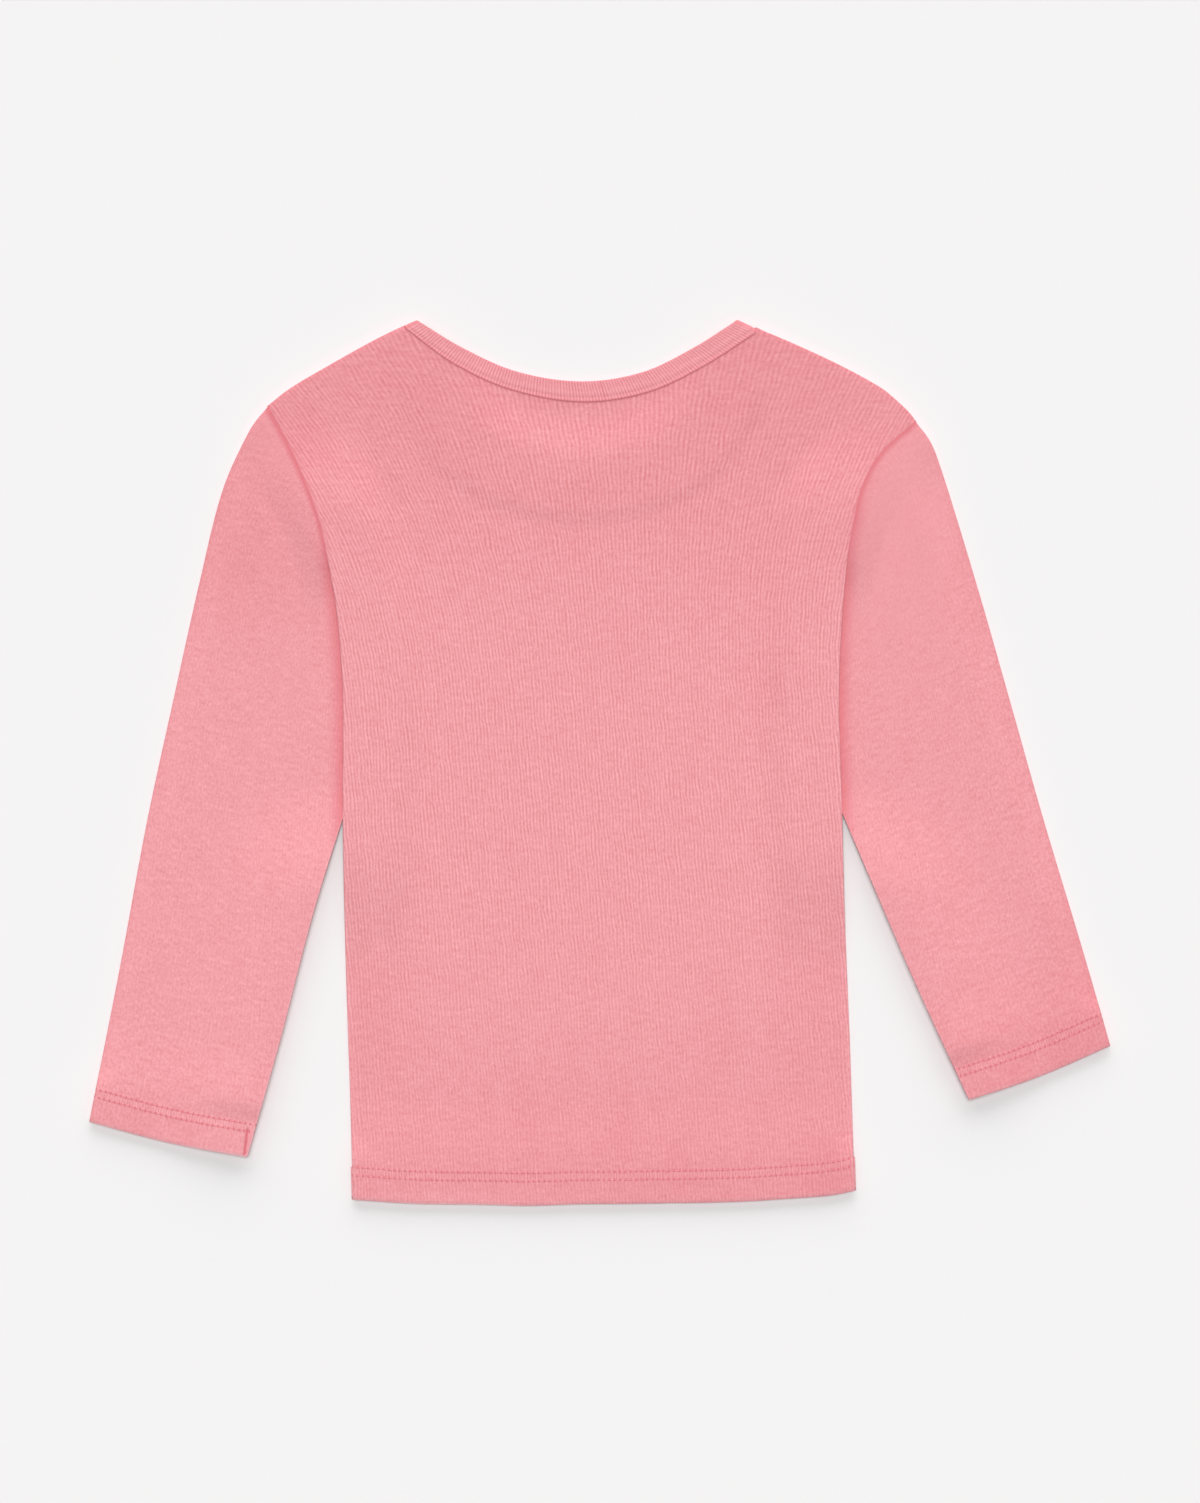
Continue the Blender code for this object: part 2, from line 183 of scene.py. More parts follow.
# How wide a painted rim is. Side edges and the lips of the sleeves are paler there, worn and
# partly a painted highlight; the shoulders, the edge of the binding and the outer folds of the
# sleeves are deeper, in painted shade
RIM_PAINT_WIDTH = 0.9 * MM
SIDE_WEAR_AND_LIGHT = 0.5
END_RIM_SHADE = 0.6
LIP_WEAR_AND_LIGHT = 1.0
OUTER_FOLD_SHADE = 0.35
# How much paler the back is painted where only the table lies under it: painted light through one
# layer
TABLE_GLOW = 0.08
TABLE_GLOW_FADE = 6 * MM
# A sleeve stands open at its inner fold, and the cloth lies thin along the pressed edges
BULGE = 4.8 * MM
OPEN_FROM = 0.35
OPEN_FADE = 0.6
CLEAR_OF_BODY = -8 * MM
CLEAR_FADE = 50 * MM
ABOVE_HEM_FADE = 10 * MM
LIP_RISE = 0.33
LIP_ROUND = 0.3 * MM
LIP_DRAW = 1.4
PRESSED_SHARE = 0.14
PRESSED_START = 4 * MM
PRESSED_FADE = 26 * MM
THIN = 1.4 * MM
THIN_WIDTH = 12 * MM
THIN_START = -172 * MM
THIN_START_FADE = 14 * MM
CUFF_SEAM = 2.3 * MM
CUFF_SEAM_DEPTH = 0.5 * MM
CUFF_SEAM_WIDTH = 1.0 * MM
CUFF_SEAM_TOP = 11.5 * MM
CUFF_SEAM_FADE = 1.5 * MM
# The knit hangs straight down the middle and fans out where it is pulled to the shoulders
FAN_START = 25 * MM
FAN_MIDDLE = -5 * MM
FAN_REACH = 85 * MM
FAN_GROWTH = 21.0
WALE_LEAN = 0.085

# Dyed pink of the cotton: its light wales and the dark between them, partly painted shade in the
# grooves; the deepest colour, from dye and painted shade; a pale rim, worn and partly a painted
# highlight; the painted shade down in a seam; the painted shade in a needle hole; the thread
LIGHT_PINK = "F4AEB4"
DARK_PINK = "E08C92"
DEEP_DYE_AND_SHADE = "F5E3E5"
WORN_AND_LIT_PINK = "FFC4C9"
SEAM_PINK = "D66D77"
DIMPLE_PINK = "D4626E"
THREAD_PINK = "F6ABB1"

Place = namedtuple("Place", "x y")
Sleeve = namedtuple("Sleeve", "armhole outer_edge inner_edge cuff")
Crease = namedtuple("Crease", "x y end_x end_y width height")
Tint = namedtuple("Tint", "x y across along depth")
Frame = namedtuple("Frame", "seam edge seam_out edge_out travelled")
HemRow = namedtuple("HemRow", "distance turn")
Wave = namedtuple("Wave", "place reach rise")
Shade = namedtuple("Shade", "top fade")
Lamp = namedtuple("Lamp", "name energy colour spread tilt turn")
Knit = namedtuple("Knit", "ribs yarn_ribs courses grain wale wander rows")


def table(columns, *rows):
    """Name the columns that the rows of a table share."""
    return [columns(*row) for row in rows]


HEM = table(
    Place, (-106.2, -188.1), (-75.0, -189.9), (-4.0, -189.9), (47.0, -189.3), (86.0, -187.3),
    (100.0, -186.1), (109.6, -184.2))
LEFT_SIDE = table(
    Place, (-106.2, -188.1), (-107.5, -145.0), (-109.6, -80.0), (-110.6, -20.0), (-110.6, 30.0),
    (-113.4, 66.0), (-117.6, 88.8), (-121.2, 104.3), (-126.8, 119.8), (-133.7, 135.2),
    (-143.2, 153.3))
RIGHT_SIDE = table(
    Place, (109.6, -184.2), (107.5, -120.0), (105.2, -62.0), (103.8, -10.0), (102.8, 32.0),
    (105.2, 76.0), (108.6, 100.0), (112.9, 118.0), (120.8, 132.5), (136.2, 146.5))
LEFT_SHOULDER = table(
    Place, (-143.2, 153.3), (-133.3, 161.0), (-115.7, 171.4), (-97.2, 181.7), (-86.0, 187.2),
    (-84.3, 187.9))
RIGHT_SHOULDER = table(
    Place, (67.4, 187.1), (71.5, 185.2), (80.0, 181.7), (102.3, 171.4), (121.0, 161.2),
    (127.6, 155.8), (132.8, 150.9), (136.2, 146.5))
BACK_NECK_SEAM = table(
    Place, (-82.9, 186.0), (-63.7, 171.9), (-39.1, 160.6), (-8.0, 155.1), (20.7, 159.3),
    (44.9, 170.5), (66.9, 184.6))
BACK_NECK_EDGE = table(
    Place, (-77.0, 189.1), (-60.0, 178.8), (-36.0, 168.3), (-8.0, 164.0), (18.0, 167.9),
    (40.5, 178.5), (57.2, 189.0))
FRONT_NECK_SEAM = table(
    Place, (-82.9, 186.0), (-78.2, 156.0), (-58.0, 127.0), (-9.0, 112.2), (41.0, 127.0),
    (61.4, 156.0), (66.9, 184.6))
FRONT_NECK_EDGE = table(
    Place, (-77.0, 189.1), (-70.2, 159.5), (-52.4, 133.2), (-9.0, 120.6), (35.2, 133.2),
    (53.4, 159.5), (57.2, 189.0))
# Where the binding reaches outwards as it folds over each shoulder: its seam and its edge
LEFT_FOLD = table(Place, (-1.9, 2.1), (-1.9, 1.4))
RIGHT_FOLD = table(Place, (0.7, 2.2), (2.0, 1.7))
LEFT_SLEEVE = Sleeve(
    table(
        Place, (-143.7, 152.8), (-134.2, 135.0), (-127.3, 119.6), (-121.7, 104.2),
        (-118.0, 88.8), (-109.5, 66.0), (-93.0, 38.0)),
    table(
        Place, (-143.6, 152.8), (-151.1, 142.2), (-162.3, 117.4), (-172.1, 78.5), (-183.6, 26.9),
        (-194.8, -24.7), (-206.4, -87.1), (-219.7, -154.6)),
    table(
        Place, (-93.0, 38.0), (-101.8, 3.0), (-111.2, -26.4), (-123.8, -67.7), (-137.2, -119.3),
        (-151.4, -169.6)),
    table(
        Place, (-219.7, -154.6), (-187.0, -163.2), (-151.4, -169.6)))
RIGHT_SLEEVE = Sleeve(
    table(
        Place, (136.2, 146.2), (121.1, 132.3), (113.4, 117.8), (109.1, 100.0), (102.5, 74.0),
        (84.0, 33.0)),
    table(
        Place, (136.2, 146.2), (142.1, 138.1), (146.2, 128.0), (153.7, 104.4), (165.3, 65.6),
        (176.3, 26.9), (190.9, -24.7), (207.5, -80.0), (219.5, -121.9)),
    table(
        Place, (84.0, 33.0), (94.5, 3.0), (105.0, -24.0), (120.8, -61.3), (137.6, -100.0),
        (158.4, -145.1)),
    table(
        Place, (219.5, -121.9), (190.0, -134.6), (158.4, -145.1)))

# Soft creases left by folding and by the hand that laid the cloth: troughs are negative
BACK_CREASES = table(
    Crease, (-80, -45, -98, -170, 8.0, -0.30), (-66, -60, -82, -150, 9.0, 0.16),
    (62, 55, 86, 2, 7.0, -0.26), (78, 60, 98, 6, 6.0, 0.16), (-35, -112, -36, -172, 6.0, -0.20),
    (-21, -108, -22, -168, 6.0, 0.12), (2, -58, 4, -118, 5.0, -0.16),
    (12, -130, 40, -186, 6.0, -0.26), (26, -128, 54, -180, 6.0, 0.16),
    (54, -92, 60, -172, 6.0, -0.20), (70, -96, 72, -170, 6.0, 0.14),
    (86, -130, 88, -182, 6.0, -0.24), (-70, 60, -40, 12, 12.0, 0.14),
    (-88, -70, -104, -86, 7.0, -0.16), (-128, 130, -96, 96, 9.0, 0.14),
    (96, 130, 70, 96, 10.0, 0.12))
FRONT_CREASES = table(
    Crease, (-84, -30, -92, -150, 9.0, 0.30), (-52, -70, -60, -176, 7.0, 0.22),
    (-18, 80, -6, 10, 10.0, 0.20), (8, -96, 14, -182, 6.0, 0.26), (40, -60, 52, -170, 8.0, 0.22),
    (76, 50, 92, -24, 7.0, 0.30), (84, -118, 80, -184, 6.0, 0.24), (-78, 96, -40, 60, 9.0, 0.24),
    (62, 104, 30, 66, 9.0, 0.20))
LEFT_SLEEVE_CREASES = table(
    Crease, (-148, 122, -134, 96, 5.0, -0.35), (-160, 96, -146, 62, 8.0, -0.25),
    (-170, 40, -150, 22, 9.0, 0.20), (-128, 70, -130, 20, 7.0, 0.22),
    (-196, -60, -176, -120, 10.0, 0.14), (-158, -90, -166, -140, 8.0, -0.14))
RIGHT_SLEEVE_CREASES = table(
    Crease, (132, 118, 140, 84, 6.0, 0.25), (148, 70, 160, 20, 9.0, 0.16),
    (124, 60, 128, 10, 7.0, -0.22), (196, -78, 206, -112, 8.0, -0.30),
    (150, -70, 168, -108, 9.0, 0.14), (170, -40, 184, -86, 9.0, -0.12))
# Soft waves of the pressed hem: place and reach as shares of its length
HEM_WAVES = table(Wave, (0.35, 0.12, -0.6), (0.62, 0.1, 0.15), (0.8, 0.08, -0.15))
HEM_WAVE_FADE = 45 * MM

# Where the colour is deeper (positive) or paler (negative), in soft ovals. The thin band below the
# back neck is painted shade where the back lies over the front's binding, and the paler oval
# between it and the back neck is painted light through the single layer
BODY_WASH = 0.2
BODY_TINTS = table(
    Tint, (0, 190, 400, 150, 0.68), (-18, 140, 40, 20, -0.16), (-8, 116, 44, 6, 0.14),
    (-132, 138, 26, 34, 0.22), (72, 84, 50, 50, 0.12), (72, 36, 24, 36, 0.18),
    (8, 50, 26, 30, 0.10), (20, -200, 300, 110, 0.46), (-50, -192, 80, 14, -0.35),
    (-98, -110, 34, 60, 0.24), (92, -100, 34, 90, 0.20), (96, -176, 22, 26, 0.25),
    (-32, -156, 12, 34, 0.14), (10, -158, 12, 34, 0.14), (34, -176, 14, 22, 0.16),
    (50, -116, 14, 34, 0.14))
# Where the ribs are pressed flatter than down the middle, and a sleeve's knit shows less
BODY_FLATS = table(
    Tint, (-104, 150, 84, 80, 0.2), (100, 150, 84, 80, 0.2), (0, 200, 300, 110, 0.4),
    (0, -190, 500, 170, 0.5))
SLEEVE_FLATS = table(
    Tint, (130, 110, 50, 100, 0.6), (-134, 140, 24, 24, 0.5))
# The binding is paler along the ridge of its fold, a painted highlight
BINDING_WASH = 0.55
BINDING_RIDGE = Wave(0.47, 0.13, -0.32)
LEFT_SLEEVE_WASH = 0.14
LEFT_SLEEVE_TINTS = table(
    Tint, (-148, 108, 60, 92, 0.44), (-156, 82, 16, 20, 0.14), (-202, -156, 50, 30, 0.26))
RIGHT_SLEEVE_WASH = 0.24
RIGHT_SLEEVE_TINTS = table(
    Tint, (190, -136, 80, 60, 0.50), (215, -90, 40, 74, 0.36), (162, 78, 20, 40, 0.12))
# Where on each sleeve the painted shade of the body over it begins, and how softly
LEFT_SHADE = Shade(106.0 * MM, 24.0 * MM)
RIGHT_SHADE = Shade(141.0 * MM, 44.0 * MM)
# The knit of each cloth: strength of its ribs, of the coarser beat of its yarn, of its courses
# and of its fuzz; width of a wale in millimetres; how far wales wander; rows of stitches on it.
# Real wales are a little narrower, and are drawn only as fine as a whole shirt in view shows
BODY_KNIT = Knit(0.92, 0.33, 0.25, 0.5, 1.42, 9.0, BODY_ROWS)
SLEEVE_KNIT = Knit(0.16, 0.14, 0.28, 0.6, 1.42, 9.0, CUFF_ROWS)
BINDING_KNIT = Knit(1.25, 0.2, 0.14, 0.4, 1.3, 1.4, ())

# Tilt and turn of the lamps in degrees, and the long side of what the camera shows
LAMPS = table(
    Lamp, ("overhead", 2.0, "FCFFFF", 0.4, 4.0, 0.0),
    ("key_left", 1.15, "FFF8F8", 0.9, 66.0, 18.0), ("key_right", 1.15, "FFF8F8", 0.9, 66.0, -18.0))
LENS = 135.0
SENSOR = 36.0
VIEW_SPAN = 646.3 * MM
VIEW_MIDDLE = 4.7 * MM
VIEW_TOP = 2.7 * MM


def ease(share):
    """Go softly from 0 to 1."""
    share = min(max(share, 0.0), 1.0)
    return share * share * (3.0 - 2.0 * share)


def fade(share):
    """Go softly from 1 to 0."""
    return 1.0 - ease(share)


def stations(breaks, steps):
    """Shares from the first break to the last, with even steps between breaks."""
    shares = [breaks[0]]
    for start, end, count in zip(breaks, breaks[1:], steps):
        shares += [start + (end - start) * (step + 1) / count for step in range(count)]
    return shares


def run_of(points):
    """Length of a run of points, and the function from a distance along it to its place.

    The place is the index of a stretch and the part of that stretch.
    """
    travelled = list(accumulate(
        ((end - start).length for start, end in zip(points, points[1:])), initial=0.0))

    def find(goal):
        index = min(bisect_right(travelled, goal) - 1, len(points) - 2)
        return index, (goal - travelled[index]) / (travelled[index + 1] - travelled[index])
    return travelled[-1], find


def smooth_curve(places):
    """Give the function from a share of the length to a point on a smooth curve."""
    knots = [Vector((place.x * MM, place.y * MM, 0.0)) for place in places]
    slopes = []
    for index in range(len(knots)):
        before, after = knots[max(index - 1, 0)], knots[min(index + 1, len(knots) - 1)]
        slopes.append((after - before).normalized())
    points = []
    for start, end, start_slope, end_slope in zip(knots, knots[1:], slopes, slopes[1:]):
        reach = (end - start).length / 3.0
        points += interpolate_bezier(
            start, start + start_slope * reach, end - end_slope * reach, end, CURVE_STEPS)[:-1]
    points.append(knots[-1])
    length, find = run_of(points)

    def at(share):
        index, part = find(min(max(share, 0.0), 1.0) * length)
        return points[index].lerp(points[index + 1], part)

    at.points, at.length = points, length
    return at


def joined_curve(curves, breaks):
    """Run through several curves, each over its own share of the whole."""
    def at(share):
        index = min(bisect_right(breaks, share) - 1, len(curves) - 1)
        span = breaks[index + 1] - breaks[index]
        return curves[index]((share - breaks[index]) / span)
    return at


def stretched_sheet(low, high, left, right, left_reach, right_reach):
    """A flat sheet stretched from its low edge to its high edge.

    Each side edge bends the sheet over its own reach, a share of the width.
    """
    def at(across, along):
        straight = low(across) * (1.0 - along) + high(across) * along
        left_bend = left(along) - low(0.0) * (1.0 - along) - high(0.0) * along
        right_bend = right(along) - low(1.0) * (1.0 - along) - high(1.0) * along
        left_part = fade(across / left_reach)
        right_part = fade((1.0 - across) / right_reach)
        return straight + left_bend * left_part + right_bend * right_part
    return at


def length_of(sheet, across):
    """Length of a sheet at a share of its width."""
    return (sheet(across, 1.0) - sheet(across, 0.0)).length


def width_of(sheet, along):
    """Width of a sheet at a share of its length."""
    return (sheet(1.0, along) - sheet(0.0, along)).length


def edge_at(curve, height):
    """How far along X a side edge is at a height on the Y axis."""
    points = curve.points
    for start, end in zip(points, points[1:]):
        if start.y <= height <= end.y:
            part = (height - start.y) / max(end.y - start.y, 1e-9)
            return start.x + (end.x - start.x) * part
    return points[0].x if height < points[0].y else points[-1].x


def distance_past(curve, point):
    """Distance from a curve that runs left to right: positive on its left, beside its run."""
    points = curve.points
    nearest = min(points, key=lambda other: (other.xy - point.xy).length_squared)
    index = points.index(nearest)
    heading = (points[min(index + 1, len(points) - 1)] - points[max(index - 1, 0)]).normalized()
    offset = point - nearest
    side = heading.x * offset.y - heading.y * offset.x
    if abs(side) > BESIDE_SHARE * offset.xy.length:
        return side
    return math.copysign(offset.xy.length, side)


hem = smooth_curve(HEM)
left_edge = smooth_curve(LEFT_SIDE)
right_edge = smooth_curve(RIGHT_SIDE)
left_shoulder = smooth_curve(LEFT_SHOULDER)
right_shoulder = smooth_curve(RIGHT_SHOULDER)
back_neck_seam = smooth_curve(BACK_NECK_SEAM)
back_neck_edge = smooth_curve(BACK_NECK_EDGE)
front_neck_seam = smooth_curve(FRONT_NECK_SEAM)
front_neck_edge = smooth_curve(FRONT_NECK_EDGE)


def from_sides(point):
    """Distance of a point from the nearer side edge of the body, below 0 outside it."""
    return min(point.x - edge_at(left_edge, point.y), edge_at(right_edge, point.y) - point.x)


def tuck_lift(point):
    """How far a tucked sleeve lifts the body at a point."""
    below = fade((TUCK_LOW - point.y) / TUCK_LOW_FADE)
    above = fade((point.y - TUCK_HIGH) / TUCK_HIGH_FADE)
    if below == 0.0 or above == 0.0:
        return 0.0
    return TUCK_LIFT * fade((from_sides(point) - TUCK_WIDTH) / TUCK_FADE) * below * above


def wall_at(height_from_hem):
    """Thickness of a panel: it grows softly to double where the hem is turned up."""
    doubled = fade((height_from_hem - HEM_DEPTH + 2.0 * MM) / HEM_FADE)
    return WALL + (HEM_WALL - WALL) * doubled


def back_under(point, wall):
    """Underside of the back, which lies on the front, on its binding and on the table."""
    on_front = wall + LAYER_GAP
    on_binding = BINDING_THICKNESS + LAYER_GAP
    if point.y < NECK_FOOT:
        return tuck_lift(point) + on_front
    into_neck = distance_past(front_neck_edge, point)
    if into_neck > -NECK_RISE_REACH:
        sink = ease((into_neck - NECK_SINK_START) / NECK_SINK_FADE)
        height = on_binding * (1.0 - sink)
    else:
        rise = fade((-into_neck - NECK_RISE_REACH) / NECK_RISE_FADE)
        height = on_front + max(on_binding - on_front, 0.0) * rise
    return tuck_lift(point) + height


def beside(curve, gap):
    """A curve set off to the right of its own run by a gap."""
    def at(share):
        before = curve(share - HEADING_STEP)
        after = curve(share + HEADING_STEP)
        heading = (after - before).normalized()
        return curve(share) + Vector((heading.y, -heading.x, 0.0)) * gap
    return at


def panel_sheet(neck_seam):
    """Flat shape of a body panel: hem, sides with armholes, shoulders and neck."""
    top = joined_curve(
        (left_shoulder, beside(neck_seam, NECK_TUCK), right_shoulder),
        (0.0, NECK_LEFT, NECK_RIGHT, 1.0))
    return stretched_sheet(hem, top, left_edge, right_edge, NECK_LEFT, 1.0 - NECK_RIGHT)


def crease_height(point, creases):
    """How far the creases raise the cloth at a point: each fades along and across itself."""
    height = 0.0
    for crease in creases:
        start = Vector((crease.x, crease.y)) * MM
        run = Vector((crease.end_x, crease.end_y)) * MM - start
        offset = point.xy - start
        along = offset.dot(run) / run.length_squared
        if -0.2 < along < 1.2:
            aside = abs(run.x * offset.y - run.y * offset.x) / run.length
            across = aside / (crease.width * MM)
            height += crease.height * MM * fade(abs(along - 0.5) / 0.7) * fade(across)
    return height


def tint_depth(point, tints):
    """How much deeper than its mean the colour is at a point: each spot is a soft oval."""
    depth = 0.0
    for tint in tints:
        reach = math.hypot(
            (point.x / MM - tint.x) / tint.across, (point.y / MM - tint.y) / tint.along)
        depth += tint.depth * fade(reach)
    return depth


def edge_thinning(point):
    """How much thinner the two panels lie along the open sides, below the tucked sleeves."""
    clear = ease((TUCK_LOW - point.y) / TUCK_LOW_FADE)
    clear *= ease((point.y - THIN_START) / THIN_START_FADE)
    if clear == 0.0:
        return 0.0
    return THIN * clear * fade(from_sides(point) / THIN_WIDTH)


def groove_depth(distance, rows):
    """How deep a row of stitches pulls the cloth in at a distance from the edge."""
    nearest = min(abs(distance - row) for row in rows)
    return GROOVE * fade(nearest / GROOVE_WIDTH)


# Rounding of an edge, from the very edge to full height: share of the radius, share of the rise
ROUNDING = [
    (1.0 - math.cos(math.pi * step / 2.0 / RIM_STEPS), math.sin(math.pi * step / 2.0 / RIM_STEPS))
    for step in range(RIM_STEPS)]


def hem_rows(rows):
    """Rows of a turned-up hem: the hidden layer, the fold, then the face with its stitch rows.

    Each row has a distance from the edge and the turn of the cloth, from 1 on the hidden
    layer to 0 on the face.
    """
    hidden = [HemRow(distance * MM, 1.0) for distance in HIDDEN_ROWS]
    fold = [
        HemRow(FOLD_REACH * (1.0 - math.sin(math.pi * step / FOLD_ROWS)), step / FOLD_ROWS)
        for step in range(FOLD_ROWS, -1, -1)]
    face = [*FACE_ROWS]
    for row in sorted(rows):
        face += [row / MM - BESIDE_STITCHES, row / MM, row / MM + BESIDE_STITCHES]
        if row != max(rows):
            face.append(row / MM + BETWEEN_STITCHES)
    face += [max(rows) / MM + above for above in ABOVE_STITCHES]
    return hidden + fold + [HemRow(distance * MM, 0.0) for distance in face]


def row_place(row, rows, hem_list, length, end_round):
    """Distance from the fold of the hem, turn of the cloth and share of its height at a row."""
    if row < len(hem_list):
        return (*hem_list[row], 1.0)
    if row > rows - RIM_STEPS:
        reach, full = ROUNDING[rows - row]
        return length - end_round * reach, 0.0, full
    hem_top = hem_list[-1].distance
    part = (row - len(hem_list) + 1) / (rows - RIM_STEPS - len(hem_list) + 1)
    return hem_top + (length - end_round - hem_top) * part, 0.0, 1.0


def rim_place(column, columns, share, low, low_round, high, high_round):
    """Place across a piece, reach into its rolled side and share of its height at a column."""
    if column < RIM_STEPS:
        reach, full = ROUNDING[column]
        return low + low_round * reach, reach, full
    if column > columns - RIM_STEPS:
        reach, full = ROUNDING[columns - column]
        return high - high_round * reach, reach, full
    start, end = low + low_round, high - high_round
    return start + (end - start) * share, 1.0, 1.0


def grid_places(shape, columns, rows):
    """Column and row of each corner of a one-metre grid."""
    return [
        (corner, round((corner.co.x + 0.5) * columns), round((corner.co.y + 0.5) * rows))
        for corner in shape.verts]


def add_layers(shape, *names):
    """Add a number to each corner for each of the names."""
    return [shape.verts.layers.float.new(name) for name in names]


def write_maps(shape, knit, sewing):
    """Write two maps in metres: across and along the wales, and along and off the edge."""
    for name, places in (("knit", knit), ("sewing", sewing)):
        layer = shape.loops.layers.uv.new(name)
        for face in shape.faces:
            for loop in face.loops:
                loop[layer].uv = places[loop.vert.index]


def add_piece(name, shape, material):
    """Turn a finished bmesh into a named object with its own material."""
    mesh = bpy.data.meshes.new(name)
    shape.to_mesh(mesh)
    shape.free()
    mesh.shade_smooth()
    piece = bpy.data.objects.new(name, mesh)
    piece.data.materials.append(material)
    bpy.context.scene.collection.objects.link(piece)
    return piece


def thicken(piece):
    """Give a shell its cloth thickness on its inner side."""
    wall = piece.modifiers.new("cloth", "SOLIDIFY")
    wall.thickness = CLOTH
    wall.offset = -1.0
    wall.use_even_offset = False
    return piece


def wale_place(point):
    """Place on the knit of a point of the body: across the wales and along them."""
    above = max(point.y - FAN_START, 0.0)
    near = min(above, FAN_REACH)
    from_middle = (point.x - FAN_MIDDLE) * (1.0 - FAN_GROWTH * near * (2.0 * above - near))
    return Vector((from_middle + WALE_LEAN * point.y, point.y))


class PanelForm:
    """The outer face of a body panel on its solid's form."""

    def __init__(self, neck_seam, is_back, creases):
        self.sheet = panel_sheet(neck_seam)
        self.is_back = is_back
        self.way = 1.0 if is_back else -1.0
        self.creases = creases

    def middle(self, point, wall):
        """Height where the two panels meet at their edges."""
        return tuck_lift(point) + wall + (LAYER_GAP - edge_thinning(point)) / 2.0

    def face(self, point, wall):
        """Height of the outer face, away from its edges."""
        if self.is_back:
            height = back_under(point, wall) + wall - edge_thinning(point)
            return height + crease_height(point, self.creases)
        return tuck_lift(point) + crease_height(point, self.creases)

    def seam_share(self, point):
        """0 on the open side of the body, 1 along the armhole seam."""
        return ease((point.y - ARMHOLE_FOOT) / ARMHOLE_FADE)


def hem_wave(share, distance):
    """How far the pressed hem waves up; the wave dies out above the stitch rows."""
    height = sum(
        wave.rise * MM * fade(abs(share - wave.place) / wave.reach) for wave in HEM_WAVES)
    return height * fade(distance / HEM_WAVE_FADE)


def painted_rim(distance):
    """How strongly a painted rim shows near an edge: pale ones are worn and partly a painted
    highlight, deep ones painted shade.
    """
    return fade(distance / RIM_PAINT_WIDTH)


